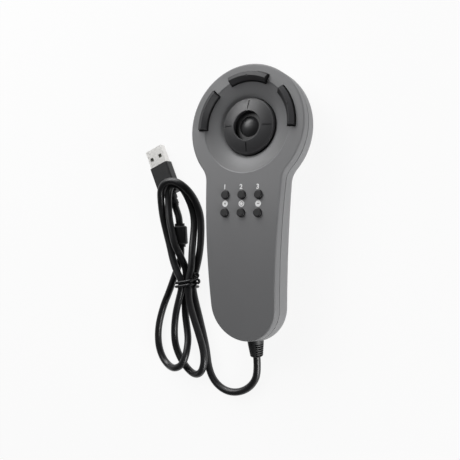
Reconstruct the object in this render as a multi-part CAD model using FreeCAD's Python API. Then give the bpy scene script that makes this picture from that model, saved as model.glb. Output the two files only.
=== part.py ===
"""Wired wand gamepad: a round head with a rocker disc, an arched handle with keys, and a cable in a tied hank.

Every size is in millimetres. Pieces are first made in the pad's own frame: X to the right, Y from the handle to
the head, Z out of the front face, with zero on the flat front face at the middle of the rocker disc. The last step
lays the whole pad on its back, so that the tip of the head and the end of the handle touch the table at Z = 0.
"""

import FreeCAD
import Part
import math
import os

from FreeCAD import Vector

# Case outline, seen from the front
head_radius = 36.3
head_centre_y = -0.7
neck_radius = 12.1
handle_half_width_top = 24.4
handle_width_top_y = -32.0
handle_half_width_low = 20.7
handle_width_low_y = -104.0
handle_end_y = -122.4

# Case profile, seen from the side
arch_start_y = -36.8
face_arch_radius = 277.0
back_arch_radius = 460.0
front_depth = 5.6
head_back_depth = 14.4
back_edge_round = 10.0
face_edge_round = 1.0
rest_flat_depth = 0.4
case_wall = 2.0
seam_groove_width = 0.5
seam_groove_depth = 0.4
seam_lip_wall = 0.9
seam_lip_height = 1.4
seam_lip_clearance = 0.15
case_reach = 200.0

# Bowl in the head
bowl_rim_margin = 8.7
bowl_rim_radius = head_radius - bowl_rim_margin
bowl_rim_round = 0.25
bowl_edge_width = 0.6
bowl_edge_depth = 0.45
bowl_well_radius = 17.0
bowl_well_depth = 4.8
bowl_floor_depth = 7.6
bowl_floor_wall = 1.6
bowl_dish_bulge = 0.5

# Rocker disc and its pivot
disc_radius = 16.6
disc_rim_depth = 2.7
disc_rim_height = 2.8
disc_rim_round = 1.1
disc_crown = 1.9
disc_crown_bulge = 0.16
disc_web = 1.7
disc_skirt_wall = 1.5
disc_hole_radius = 8.4
disc_hole_round = 0.35
disc_hub_wall = 1.4
disc_hub_drop = 0.9
tick_inner_radius = 9.7
tick_outer_radius = 15.0
tick_width = 0.8
tick_depth = 0.5
pivot_depth = 5.4
pivot_ball_radius = 8.2
pivot_bush_wall = 0.9
pivot_bush_half_height = 0.8
pivot_clearance = 0.05
collar_top_above_pivot = 0.9
collar_foot_radius = 7.9
collar_fit = 0.05
collar_seat_height = 0.7
pusher_circle_radius = 13.2
pusher_side = 2.4
pusher_hole_side = 4.4
pusher_gap = 1.1

# Centre button
nub_radius = 5.8
nub_guide_clearance = 0.2
nub_shoulder_depth = 4.9
nub_dome_height = 2.1
nub_flange_radius = 7.2
nub_flange_thickness = 0.6
nub_flange_gap = 0.2

# Arc buttons on the rim of the bowl
arc_inside_rim = 1.8
arc_outside_rim = 3.1
arc_ridge_outside_rim = 0.4
arc_inner_radius = bowl_rim_radius - arc_inside_rim
arc_ridge_radius = bowl_rim_radius + arc_ridge_outside_rim
arc_outer_radius = bowl_rim_radius + arc_outside_rim
arc_angles = {"left": 160.0, "top": 90.0, "right": 20.0}
arc_half_angles = {"left": 23.3, "top": 24.8, "right": 23.3}
arc_height = 3.2
arc_inner_height = 0.4
arc_outer_height = 1.8
arc_slot_clearance = 0.5
arc_lip_width = 2.7
arc_lip_reach = 1.15
arc_lip_gap = 0.2
arc_lip_thickness = 1.0
arc_pin_radius = 1.4
arc_pin_circle_radius = (arc_inner_radius + arc_outer_radius) / 2
arc_pin_angle = 13.0
arc_notch_width = 1.0
arc_notch_length = 1.6
arc_notch_depth = 0.5
arc_edge_round = 0.35

# Round keys on the handle
key_radius = 2.45
key_height = 1.3
key_edge_round = 0.5
key_hole_clearance = 0.2
key_flange_radius = 3.3
key_flange_thickness = 0.8
key_flange_gap = 0.2
key_stem_radius = 1.4
key_columns_x = (-10.6, 0.0, 10.6)
key_rows_y = (-39.9, -50.1)

# Circuit boards and the rubber mats on them
board_thickness = 1.6
mat_sheet = 0.7
mat_dome_height = 1.0
mat_dome_radius = 2.0
mat_margin = 0.4
head_dome_depth = 11.0
head_board_margin = 4.8
head_board_radius = head_radius - head_board_margin
handle_dome_depth = 6.8
handle_board_half_width = 18.5
handle_board_top_y = -33.4
handle_board_low_y = -57.0
handle_mat_half_width = 12.8
handle_mat_top_y = -35.8
handle_mat_low_y = -54.2
button_gap = 1.0

# Posts, bosses and screws
post_radius = 2.2
post_pilot_depth = 4.0
head_post_margin = 14.3
head_post_angles = (55.0, 125.0, 270.0)
head_posts = [(head_radius - head_post_margin, angle) for angle in head_post_angles]
handle_posts = ((-16.0, -35.8), (16.0, -35.8), (-16.0, -54.6), (16.0, -54.6))
board_screw_radius = 0.85
board_screw_length = 5.0
board_screw_head_radius = 1.8
board_screw_head_height = 1.2
case_boss_radius = 3.0
case_boss_base_radius = 4.3
case_boss_base_height = 2.2
case_boss_height = 8.6
head_boss_margin = 13.9
head_boss_angles = (90.0, -40.0, 220.0)
head_bosses = [(head_radius - head_boss_margin, angle) for angle in head_boss_angles]
handle_bosses = ((-9.5, -104.0), (9.5, -104.0))
case_screw_radius = 1.35
case_screw_length = 10.0
case_screw_head_radius = 2.5
case_screw_head_height = 1.7
case_screw_recess_depth = 2.6
case_screw_recess_radius = 2.9
screw_clearance = 0.05
screw_passage_radius = 1.7
screw_slot_width = 0.7
screw_slot_depth = 0.8
hole_clearance = 0.3

# Parts on the boards
chip_side = 10.0
chip_height = 1.2
chip_y = 4.0
crystal_width = 3.2
crystal_length = 5.0
crystal_height = 1.0
capacitor_count = 4
capacitor_pitch = 3.0
capacitor_length = 1.6
capacitor_width = 0.8
capacitor_height = 0.8
ribbon_width = 10.0
ribbon_thickness = 0.5
ribbon_socket_width = 13.0
ribbon_socket_length = 4.0
ribbon_socket_height = 2.3
head_socket_margin = 9.3
head_socket_y = head_socket_margin - head_radius
handle_socket_y = -37.0
ribbon_slant = 0.43
header_width = 12.5
header_length = 5.0
header_height = 3.4
header_y = -51.6
header_plug_width = 10.5
header_plug_length = 6.5
header_plug_height = 2.6

# Cable, its boot and what is on it
cable_diameter = 4.4
gland_depth = 26.9
gland_slope_deg = 16.0
boot_root_radius = 4.75
boot_tip_radius = 3.75
boot_core_radius = 3.1
boot_length = 8.6
boot_root_length = 1.6
boot_rib_count = 5
boot_rib_share = 0.62
boot_hole_clearance = 0.05
boot_flange_radius = 5.9
boot_flange_thickness = 1.4
boot_flange_inset = 5.8
inner_cable_level = 11.8
inner_cable_first_run = 11.4
inner_cable_last_run = 19.8
arc_share = 0.45
ferrite_radius = 4.5
ferrite_length = 11.4
ferrite_collar_radius = 3.1
ferrite_collar_length = 1.6
ferrite_edge_round = 0.7
ferrite_bore_clearance = 0.1
plug_turn_deg = 23.5
plug_face_x = -70.8
plug_face_y = 24.75
plug_body_width = 13.2
plug_body_height = 7.0
plug_body_length = 20.0
plug_body_round = 1.2
plug_shell_width = 12.0
plug_shell_height = 4.5
plug_shell_length = 11.6
plug_shell_wall = 0.35
plug_shell_rooted = 6.0
plug_window_side = 2.2
plug_window_spread = 3.2
plug_window_from_tip = 6.2
plug_notch_radius = 1.6
plug_notch_setback = 0.9
plug_tongue_thickness = 1.7
plug_tongue_setback = 0.6
plug_fit = 0.05
plug_contact_width = 1.1
plug_contact_pitch = 2.2
plug_contact_length = 7.0
plug_contact_height = 0.2
plug_relief_rings = ((3.4, 2.8), (2.7, 1.4), (3.0, 2.4), (2.5, 1.2))
tie_wire_radius = 0.65
tie_gap = 0.12
tie_wraps_y = (-47.6, -51.0)
tie_columns_x = (-51.0, -46.0)
tie_rows_z = (3.65, 8.55)
tie_eye_radius = 1.15
tie_eyes = ((-41.9, -44.0, 6.4), (-41.6, -47.2, 6.2))

# Route of the cable on the table: how far it runs straight out of the boot, then the points it goes round
lead_first_run = 10.3
lead_points = (
    (-3.7, -106.1, 2.5), (-10.3, -111.2, 2.2), (-18.5, -113.0, 2.2), (-25.9, -111.1, 2.2), (-31.7, -106.2, 2.2),
    (-34.8, -99.3, 2.2), (-35.9, -92.9, 2.2),
)
hank_points = (
    # Up beside the handle, in the tie, and round the outer top loop over the plug
    (-35.9, -92.9, 2.2), (-37.1, -86.0, 2.2), (-41.2, -71.5, 2.2), (-44.8, -59.0, 2.7), (-46.0, -51.5, 3.65),
    (-46.0, -46.5, 3.65), (-43.6, -38.5, 3.0), (-41.8, -28.5, 2.3), (-40.7, -18.0, 2.2), (-41.0, -7.0, 2.4),
    (-42.4, 1.5, 3.6), (-44.6, 9.0, 6.2), (-49.0, 14.9, 8.9), (-55.5, 17.3, 9.9), (-62.2, 15.9, 9.9),
    (-66.3, 10.3, 9.9), (-66.9, 2.0, 9.6), (-66.0, -8.1, 8.6), (-63.8, -17.0, 8.1), (-61.0, -25.5, 8.0),
    (-58.2, -33.5, 8.3), (-54.5, -41.2, 8.9), (-51.0, -46.8, 8.55),
    # Down through the tie and round the right bottom loop
    (-51.0, -52.0, 8.55), (-53.4, -59.0, 7.9), (-57.2, -67.0, 5.2), (-59.9, -77.0, 2.7), (-59.7, -86.5, 2.2),
    (-56.0, -94.8, 2.2), (-50.3, -101.5, 2.3), (-43.6, -104.6, 3.9), (-37.6, -102.4, 6.5), (-34.9, -96.3, 7.4),
    (-35.6, -88.5, 7.2), (-39.4, -78.0, 7.2), (-43.2, -68.3, 7.3), (-45.8, -59.0, 8.2), (-46.0, -52.0, 8.55),
    # Up through the tie and round the inner top loop over the plug's tail
    (-46.0, -46.5, 8.55), (-44.3, -38.0, 8.0), (-45.2, -28.5, 6.3), (-45.9, -19.5, 3.7), (-46.0, -10.5, 2.4),
    (-47.0, -3.0, 3.4), (-48.8, 3.8, 6.3), (-51.2, 8.8, 8.6), (-54.9, 11.5, 9.7), (-58.7, 10.4, 9.9),
    (-60.7, 5.6, 9.9), (-60.4, -1.2, 9.9), (-58.9, -8.9, 11.1), (-56.4, -16.9, 11.8), (-54.0, -25.5, 11.8),
    (-51.7, -32.5, 8.4), (-50.2, -39.5, 4.8), (-51.0, -46.5, 3.65),
    # Down through the tie, over the first bottom loop, round the left bottom loop and up to the ferrite
    (-51.0, -52.0, 3.65), (-52.2, -59.5, 2.7), (-52.3, -67.5, 2.2), (-50.8, -76.0, 2.2), (-48.7, -83.5, 3.8),
    (-47.9, -91.5, 7.2), (-50.3, -98.3, 7.7), (-56.3, -101.6, 6.8), (-63.2, -100.9, 3.4), (-69.0, -96.3, 2.2),
    (-72.3, -88.0, 2.2), (-72.4, -77.0, 2.2), (-69.0, -64.5, 2.2), (-63.9, -53.5, 2.2), (-60.2, -44.0, 2.2),
    (-57.2, -37.0, 2.3), (-55.0, -32.6, 3.7), (-54.31, -28.8, 4.5),
)
ferrite_low_end = (-54.5, -26.3, 4.5)
ferrite_high_end = (-55.6, -11.75, 4.5)
tail_points = ((-55.78, -9.6, 4.5), (-57.5, -5.8, 3.5))


def face_height(y):
    """Height of the front face above the flat of the head, at one place along the pad."""
    run = max(0.0, arch_start_y - y)
    return math.sqrt(face_arch_radius ** 2 - run ** 2) - face_arch_radius


def back_height(y):
    """Height of the outside of the back, at one place along the pad."""
    run = max(0.0, -y)
    drop = back_arch_radius - math.sqrt(back_arch_radius ** 2 - run ** 2)
    return -front_depth - head_back_depth - drop


def arc_edge(centre, radius, start, end):
    """Arc in a level plane between two angles in radians, as an edge."""
    def at(angle):
        return centre + Vector(radius * math.cos(angle), radius * math.sin(angle), 0)
    return Part.Arc(at(start), at((start + end) / 2), at(end)).toShape()


def outline_face(inset):
    """Flat face inside the case outline, moved inwards by one inset."""
    slope = (handle_half_width_top - handle_half_width_low) / (handle_width_top_y - handle_width_low_y)
    stretch = math.hypot(1.0, slope)
    half_at_zero = handle_half_width_top - slope * handle_width_top_y - inset * stretch
    head = head_radius - inset
    neck = neck_radius + inset
    end_y = handle_end_y + inset
    end_radius = (half_at_zero + slope * end_y) / (stretch - slope)
    end_centre = Vector(0, end_y + end_radius, 0)
    head_centre = Vector(0, head_centre_y, 0)
    # The neck arc touches the head's circle and the side of the handle
    reach = half_at_zero + neck * stretch
    a = 1 + slope ** 2
    b = 2 * slope * reach - 2 * head_centre_y
    c = reach ** 2 + head_centre_y ** 2 - (head + neck) ** 2
    neck_y = (-b - math.sqrt(b * b - 4 * a * c)) / (2 * a)
    neck_centre = Vector(reach + slope * neck_y, neck_y, 0)
    to_neck = math.atan2(neck_y - head_centre_y, neck_centre.x)
    side_angle = math.atan2(-slope, 1.0)
    side_normal = Vector(math.cos(side_angle), math.sin(side_angle), 0)
    side_start = neck_centre - side_normal * neck
    side_end = end_centre + side_normal * end_radius
    right = [
        arc_edge(head_centre, head, math.pi / 2, to_neck),
        arc_edge(neck_centre, neck, to_neck + math.pi, side_angle + math.pi),
        Part.LineSegment(side_start, side_end).toShape(),
        arc_edge(end_centre, end_radius, side_angle, -math.pi / 2),
    ]
    left = [edge.mirror(Vector(0, 0, 0), Vector(1, 0, 0)) for edge in right]
    return Part.Face(Part.Wire(Part.__sortEdges__(right + left)))


def line(start, end):
    """Straight edge."""
    return Part.LineSegment(start, end).toShape()


def face_curve(depth):
    """Profile of the front face moved into the case by one depth, from beyond the head to beyond the handle."""
    radius = face_arch_radius - depth
    low_y = -case_reach * 0.8

    def at(y):
        return Vector(0, y, math.sqrt(radius ** 2 - (arch_start_y - y) ** 2) - face_arch_radius)
    start = Vector(0, arch_start_y, -depth)
    arc = Part.Arc(start, at((arch_start_y + low_y) / 2), at(low_y)).toShape()
    return [line(Vector(0, case_reach / 2, -depth), start), arc]


def back_curve(inset):
    """Profile of the back moved into the case by one inset, from beyond the head to beyond the handle."""
    radius = back_arch_radius + inset
    flat_back = back_height(0)
    low_y = -case_reach * 0.8

    def at(y):
        return Vector(0, y, flat_back - back_arch_radius + math.sqrt(radius ** 2 - y ** 2))
    start = Vector(0, 0, flat_back + inset)
    arc = Part.Arc(start, at(low_y / 2), at(low_y)).toShape()
    return [line(Vector(0, case_reach / 2, flat_back + inset), start), arc]


def high_curve():
    """Level line well above the face."""
    level = case_reach / 4
    return [line(Vector(0, case_reach / 2, level), Vector(0, -case_reach * 0.8, level))]


def slab(upper, lower):
    """Solid between two profile curves, wide enough to cover the case."""
    far = line(lower[0].valueAt(lower[0].FirstParameter), upper[0].valueAt(upper[0].FirstParameter))
    near = line(upper[-1].valueAt(upper[-1].LastParameter), lower[-1].valueAt(lower[-1].LastParameter))
    edges = Part.__sortEdges__([far, near] + upper + lower)
    solid = Part.Face(Part.Wire(edges)).extrude(Vector(case_reach, 0, 0))
    solid.translate(Vector(-case_reach / 2, 0, 0))
    return solid


def prism(inset):
    """Upright prism of the case outline."""
    column = outline_face(inset).extrude(Vector(0, 0, case_reach))
    column.translate(Vector(0, 0, -case_reach / 2))
    return column


def rim_edges(solid, height_at):
    """Edges of a solid that run round its rim at a height that changes along the pad."""
    found = []
    for edge in solid.Edges:
        middle = edge.valueAt((edge.FirstParameter + edge.LastParameter) / 2)
        ends = [vertex.Point for vertex in edge.Vertexes]
        crosswise = abs(ends[0].y - ends[-1].y) < 0.01 and abs(ends[0].x + ends[-1].x) < 0.01
        if abs(middle.z - height_at(middle.y)) < 0.02 and not crosswise:
            found.append(edge)
    return found


def case_body(inset):
    """Whole case as one solid, moved inwards by one inset, with its edges rounded."""
    body = prism(inset).common(slab(face_curve(inset), back_curve(inset)))
    body = body.makeFillet(back_edge_round - inset, rim_edges(body, lambda y: back_height(y) + inset))
    return body


def polar(radius, degrees):
    """Point in the plane, from a distance and a direction counted from X towards Y."""
    return radius * math.cos(math.radians(degrees)), radius * math.sin(math.radians(degrees))


def post(place, low, high, radius):
    """Upright cylinder at one place, between two heights."""
    return Part.makeCylinder(radius, high - low, Vector(place[0], place[1], low))


def block(place, low, high, width, length):
    """Upright block centred on one place, between two heights."""
    return Part.makeBox(width, length, high - low, Vector(place[0] - width / 2, place[1] - length / 2, low))


def turned(path):
    """Solid turned about Z from a closed path of (radius, height) points.

    A step of the path is either a point, reached by a straight line, or a pair of points: an arc through the first
    to the second.
    """
    def spot(point):
        return Vector(point[0], 0, point[1])
    edges = []
    here = path[0]
    for step in path[1:] + path[:1]:
        if isinstance(step[0], tuple):
            edges.append(Part.Arc(spot(here), spot(step[0]), spot(step[1])).toShape())
            here = step[1]
        elif spot(here).distanceToPoint(spot(step)) > 1e-6:
            edges.append(line(spot(here), spot(step)))
            here = step
    return Part.Face(Part.Wire(edges)).revolve(Vector(0, 0, 0), Vector(0, 0, 1), 360)


def sector(path, centre_deg, half_deg):
    """Solid swept about Z through a part of a turn, from a closed path of (radius, height) corners."""
    corners = [Vector(radius, 0, height) for radius, height in path + path[:1]]
    face = Part.Face(Part.makePolygon(corners))
    face.rotate(Vector(0, 0, 0), Vector(0, 0, 1), centre_deg - half_deg)
    return face.revolve(Vector(0, 0, 0), Vector(0, 0, 1), 2 * half_deg)


def joined(solids):
    """One solid from several that overlap."""
    return solids[0].multiFuse(solids[1:]).removeSplitter()


def sphere_offset(radius, height):
    """Distance from the axis of the point of a ball that stands at one height over its middle."""
    return math.sqrt(radius ** 2 - height ** 2)


# Levels that several pieces share
head_dome_top = -head_dome_depth
head_sheet_top = head_dome_top - mat_dome_height
head_board_top = head_sheet_top - mat_sheet
head_board_low = head_board_top - board_thickness
handle_dome_top = -handle_dome_depth
handle_sheet_top = handle_dome_top - mat_dome_height
handle_board_top = handle_sheet_top - mat_sheet
handle_board_low = handle_board_top - board_thickness
bowl_floor_low = -bowl_floor_depth - bowl_floor_wall


def dish_circle():
    """Middle and radius of the arc that the bowl's wall follows below its edge, and the arc's own middle point."""
    start = Vector(bowl_rim_radius - bowl_edge_width, 0, -bowl_edge_depth)
    end = Vector(bowl_well_radius, 0, -bowl_well_depth)
    chord = end - start
    into_wall = Vector(-chord.z, 0, chord.x)
    into_wall.normalize()
    middle = (start + end) / 2 - into_wall * bowl_dish_bulge
    radius = (chord.Length ** 2 / 4 + bowl_dish_bulge ** 2) / (2 * bowl_dish_bulge)
    centre = middle + into_wall * radius
    return (centre.x, centre.z), radius, (middle.x, middle.z)


def bowl_void():
    """Space of the open bowl, from its floor to well above the face."""
    middle = dish_circle()[2]
    above = bowl_well_depth
    return turned([(0, -bowl_floor_depth), (bowl_well_radius, -bowl_floor_depth),
                   (bowl_well_radius, -bowl_well_depth),
                   (middle, (bowl_rim_radius - bowl_edge_width, -bowl_edge_depth)),
                   (bowl_rim_radius, 0), (bowl_rim_radius, above), (0, above)])


def bowl_lump():
    """Skin of the bowl filled solid, up into the wall of the face."""
    (centre_x, centre_z), radius, _ = dish_circle()
    inner = radius - bowl_floor_wall
    well = bowl_well_radius + bowl_floor_wall
    low_z = centre_z + sphere_offset(inner, well - centre_x)
    top_z = -case_wall / 2
    middle_x = (well + bowl_rim_radius) / 2
    middle_z = centre_z + sphere_offset(inner, middle_x - centre_x)
    rim_z = centre_z + sphere_offset(inner, bowl_rim_radius - centre_x)
    return turned([(0, bowl_floor_low), (well, bowl_floor_low), (well, low_z),
                   ((middle_x, middle_z), (bowl_rim_radius, rim_z)), (bowl_rim_radius, top_z), (0, top_z)])


def dish_height(radius):
    """Height of the bowl's wall at one distance from its middle."""
    (centre_x, centre_z), arc_radius, _ = dish_circle()
    return centre_z + sphere_offset(arc_radius, radius - centre_x)


def seam_groove():
    """Shadow line that runs round the case where the two shells meet."""
    band = slab(face_curve(front_depth - seam_groove_width / 2), face_curve(front_depth + seam_groove_width / 2))
    return band.cut(prism(seam_groove_depth))


def screw_places():
    """Places of the screws that hold the two shells together."""
    return [polar(radius, angle) for radius, angle in head_bosses] + list(handle_bosses)


def boss_meeting_height(place):
    """Height where the boss of the back shell meets the boss of the front shell."""
    return back_height(place[1]) + case_boss_height


def arc_slot(side):
    """Hole in the front shell that an arc button works in."""
    inner = arc_inner_radius - arc_slot_clearance
    outer = arc_outer_radius + arc_slot_clearance
    extra = math.degrees(arc_slot_clearance / arc_inner_radius)
    top = arc_height + arc_slot_clearance
    return sector([(inner, -bowl_floor_depth), (outer, -bowl_floor_depth), (outer, top), (inner, top)],
                  arc_angles[side], arc_half_angles[side] + extra)


def front_shell():
    """Front shell: the face, the bowl with its slots and holes, screw bosses and board posts."""
    whole = case_body(0)
    whole = whole.makeFillet(face_edge_round, rim_edges(whole, face_height))
    shell = whole.cut(case_body(case_wall)).common(slab(high_curve(), face_curve(front_depth)))
    lip = prism(case_wall - seam_lip_wall).cut(prism(case_wall))
    lip = lip.common(slab(face_curve(front_depth - seam_lip_height), face_curve(front_depth + seam_lip_height)))
    shell = joined([shell, lip, bowl_lump()])
    shell = shell.cut(bowl_void())
    rim = [edge for edge in shell.Edges if abs(edge.BoundBox.ZMax) < 0.01 and abs(edge.BoundBox.ZMin) < 0.01
           and abs(math.hypot(edge.valueAt(edge.FirstParameter).x, edge.valueAt(edge.FirstParameter).y)
                   - bowl_rim_radius) < 0.01]
    shell = shell.makeFillet(bowl_rim_round, rim)
    shell = shell.cut([arc_slot(side) for side in arc_angles] + [seam_groove()])

    inside = case_body(case_wall / 2)
    stems = []
    pilots = []
    for place in screw_places():
        meeting = boss_meeting_height(place)
        top = min(face_height(place[1]), dish_height(math.hypot(*place)) if place[1] > arch_start_y else 0)
        stems.append(post(place, meeting, top, case_boss_radius))
        screw_end = back_height(place[1]) + case_screw_recess_depth + case_screw_length
        pilots.append(post(place, meeting, screw_end + hole_clearance, case_screw_radius + screw_clearance))
    board_posts = [(polar(radius, angle), head_board_top) for radius, angle in head_posts]
    board_posts += [(place, handle_board_top) for place in handle_posts]
    for place, low in board_posts:
        top = dish_height(math.hypot(*place)) if low == head_board_top else face_height(place[1])
        stems.append(post(place, low, top, post_radius))
        pilots.append(post(place, low, low + post_pilot_depth, board_screw_radius + screw_clearance))
    shell = shell.fuse([stem.common(inside) for stem in stems]).cut([bowl_void()] + pilots)

    holes = [post((0, 0), bowl_floor_low, -bowl_floor_depth, collar_foot_radius + collar_fit)]
    holes += [block(polar(pusher_circle_radius, quarter), bowl_floor_low, -bowl_floor_depth,
                    pusher_hole_side, pusher_hole_side) for quarter in (0, 90, 180, 270)]
    for x in key_columns_x:
        for y in key_rows_y:
            level = face_height(y)
            holes.append(post((x, y), level - 2 * case_wall, level + case_wall, key_radius + key_hole_clearance))
    return shell.cut(holes).removeSplitter()


def gland_frame():
    """Place of the cable's exit, with Z pointing out of the case along the boot."""
    turn = FreeCAD.Rotation(Vector(1, 0, 0), 90 + gland_slope_deg)
    return FreeCAD.Placement(Vector(0, handle_end_y, -gland_depth), turn)


def back_shell():
    """Back shell, with the hole for the boot, screw recesses and screw bosses."""
    whole = case_body(0)
    shell = whole.cut(case_body(case_wall)).common(slab(face_curve(front_depth), back_curve(-1)))
    rebate = prism(case_wall - seam_lip_wall - seam_lip_clearance)
    rebate = rebate.common(slab(face_curve(front_depth), face_curve(front_depth + seam_lip_height
                                                                    + seam_lip_clearance)))
    shell = shell.cut([rebate, seam_groove()])
    inside = case_body(case_wall / 2)
    stems = []
    holes = []
    for place in screw_places():
        outside = back_height(place[1])
        meeting = boss_meeting_height(place)
        base_top = outside + case_wall + case_boss_base_height
        stems.append(post(place, outside - case_wall, meeting, case_boss_radius).common(inside))
        stems.append(post(place, outside - case_wall, base_top, case_boss_base_radius).common(inside))
        holes.append(post(place, outside, meeting, screw_passage_radius))
        holes.append(post(place, outside - case_wall, outside + case_screw_recess_depth, case_screw_recess_radius))
    gland = Part.makeCylinder(boot_root_radius + boot_hole_clearance, boot_flange_inset + boot_root_length,
                              Vector(0, 0, -boot_flange_inset))
    gland = gland.fuse(Part.makeCylinder(boot_flange_radius + boot_hole_clearance, boot_flange_thickness,
                                         Vector(0, 0, -boot_flange_inset)))
    gland.Placement = gland_frame()
    return shell.fuse(stems).cut(holes + [gland]).removeSplitter()


def screw(place, seat, length, radius, head_radius, head_height):
    """Screw that is driven upwards, with its head under the seat and a cross slot in the head."""
    shank = post(place, seat - head_height / 2, seat + length, radius)
    head = post(place, seat - head_height, seat, head_radius)
    slots = [block(place, seat - head_height, seat - head_height + screw_slot_depth * head_height
                   / case_screw_head_height, width, length) for width, length in
             ((screw_slot_width, 1.2 * head_radius), (1.2 * head_radius, screw_slot_width))]
    return shank.fuse(head).cut(slots)


def housing_screws():
    """Screws that hold the shells together, in their recesses in the back."""
    return [screw(place, back_height(place[1]) + case_screw_recess_depth, case_screw_length, case_screw_radius,
                  case_screw_head_radius, case_screw_head_height) for place in screw_places()]


def board_screws():
    """Screws that hold the two boards to their posts."""
    places = [(polar(radius, angle), head_board_low) for radius, angle in head_posts]
    places += [(place, handle_board_low) for place in handle_posts]
    return [screw(place, low, board_screw_length, board_screw_radius, board_screw_head_radius,
                  board_screw_head_height) for place, low in places]


def direction_disc():
    """Rocker disc: crowned top with a round hole, skirt, ball socket, engraved ticks and four pushers."""
    rim_top = -disc_rim_depth
    rim_low = rim_top - disc_rim_height
    hole_top = rim_top + disc_crown
    socket = pivot_ball_radius + pivot_bush_wall + 2 * pivot_clearance
    hub = socket + disc_hub_wall
    hub_low = -pivot_depth - disc_hub_drop
    socket_low = sphere_offset(socket, disc_hub_drop)
    socket_top = -pivot_depth + sphere_offset(socket, disc_hole_radius)
    round_share = disc_rim_round * (1 - math.sqrt(0.5))
    flat_edge = disc_radius - disc_rim_round
    crown_start = disc_hole_radius + disc_hole_round
    crown_middle = ((crown_start + flat_edge) / 2, (rim_top + hole_top) / 2 + disc_crown_bulge)
    hole_share = disc_hole_round * (1 - math.sqrt(0.5))
    disc = turned([
        (disc_hole_radius, hole_top - disc_hole_round),
        ((disc_hole_radius + hole_share, hole_top - hole_share), (crown_start, hole_top)),
        (crown_middle, (flat_edge, rim_top)),
        ((disc_radius - round_share, rim_top - round_share), (disc_radius, rim_top - disc_rim_round)),
        (disc_radius, rim_low),
        (disc_radius - disc_skirt_wall, rim_low),
        (disc_radius - disc_skirt_wall, rim_top - disc_web),
        (hub, hole_top - disc_web),
        (hub, hub_low),
        (socket_low, hub_low),
        ((socket, -pivot_depth), (disc_hole_radius, socket_top)),
    ])
    tick_length = tick_outer_radius - tick_inner_radius
    tick_middle = (tick_outer_radius + tick_inner_radius) / 2
    slope = math.degrees(math.atan2(disc_crown, flat_edge - crown_start))
    ticks = []
    pushers = []
    for quarter in (0, 90, 180, 270):
        tick = block((0, 0), -tick_depth, disc_crown, tick_length, tick_width)
        tick.rotate(Vector(0, 0, 0), Vector(0, 1, 0), slope)
        tick.translate(Vector(tick_middle, 0, crown_middle[1]))
        tick.rotate(Vector(0, 0, 0), Vector(0, 0, 1), quarter)
        ticks.append(tick)
        tip = head_dome_top + pusher_gap
        pushers.append(block(polar(pusher_circle_radius, quarter), tip, rim_top - disc_web / 2,
                             pusher_side, pusher_side))
    return disc.fuse(pushers).removeSplitter(), ticks


def pivot_bushing():
    """Ring with a ball's outside and inside, between the collar and the disc."""
    inner = pivot_ball_radius + pivot_clearance
    outer = inner + pivot_bush_wall
    half = pivot_bush_half_height
    low, high = -pivot_depth - half, -pivot_depth + half
    return turned([
        (sphere_offset(inner, half), low), (sphere_offset(outer, half), low),
        ((outer, -pivot_depth), (sphere_offset(outer, half), high)), (sphere_offset(inner, half), high),
        ((inner, -pivot_depth), (sphere_offset(inner, half), low)),
    ])


def pivot_collar():
    """Fixed collar in the floor of the bowl: a ball seat outside and the guide of the centre button inside."""
    bore = nub_radius + nub_guide_clearance
    ball = pivot_ball_radius
    top = -pivot_depth + collar_top_above_pivot
    seat = -bowl_floor_depth
    shoulder = seat + collar_seat_height
    return turned([
        (bore, bowl_floor_low), (collar_foot_radius, bowl_floor_low), (collar_foot_radius, seat), (ball, seat),
        (ball, shoulder), (sphere_offset(ball, shoulder + pivot_depth), shoulder),
        ((ball, -pivot_depth), (sphere_offset(ball, collar_top_above_pivot), top)), (bore, top),
    ])


def centre_button():
    """Dome button in the middle, with the flange that keeps it under the bowl's floor."""
    flange_top = bowl_floor_low - nub_flange_gap
    flange_low = flange_top - nub_flange_thickness
    apex = -nub_shoulder_depth + nub_dome_height
    dome = (nub_radius ** 2 + nub_dome_height ** 2) / (2 * nub_dome_height)
    half = nub_radius / 2
    return turned([
        (0, flange_low), (nub_flange_radius, flange_low), (nub_flange_radius, flange_top),
        (nub_radius, flange_top), (nub_radius, -nub_shoulder_depth),
        ((half, apex - dome + sphere_offset(dome, half)), (0, apex)),
    ])


def arc_button(side):
    """Arc button on the rim of the bowl: two facets with a notch on the ridge, a lip and two pins."""
    angle = arc_angles[side]
    half_angle = arc_half_angles[side]
    lip_top = -case_wall - arc_lip_gap
    lip_low = lip_top - arc_lip_thickness
    body = sector([(arc_inner_radius, lip_low), (arc_outer_radius, lip_low), (arc_outer_radius, arc_outer_height),
                   (arc_ridge_radius, arc_height), (arc_inner_radius, arc_inner_height)], angle, half_angle)
    lip_outer = arc_outer_radius + arc_lip_reach
    lip_extra = math.degrees(arc_lip_reach / arc_outer_radius)
    lip_inner = lip_outer - arc_lip_width
    lip = sector([(lip_inner, lip_low), (lip_outer, lip_low), (lip_outer, lip_top), (lip_inner, lip_top)],
                 angle, half_angle + lip_extra)
    pins = [post(polar(arc_pin_circle_radius, angle + turn), head_dome_top + button_gap, lip_top, arc_pin_radius)
            for turn in (-arc_pin_angle, arc_pin_angle)]
    notch = block((arc_ridge_radius, 0), arc_height - arc_notch_depth, arc_height + arc_notch_depth,
                  arc_notch_length, arc_notch_width)
    notch.rotate(Vector(0, 0, 0), Vector(0, 0, 1), angle)
    outer_edges = [edge for edge in body.Edges if edge.BoundBox.ZMin > arc_inner_height - 0.01]
    body = body.makeFillet(arc_edge_round, outer_edges)
    return body.fuse([lip] + pins).cut(notch).removeSplitter()


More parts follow.
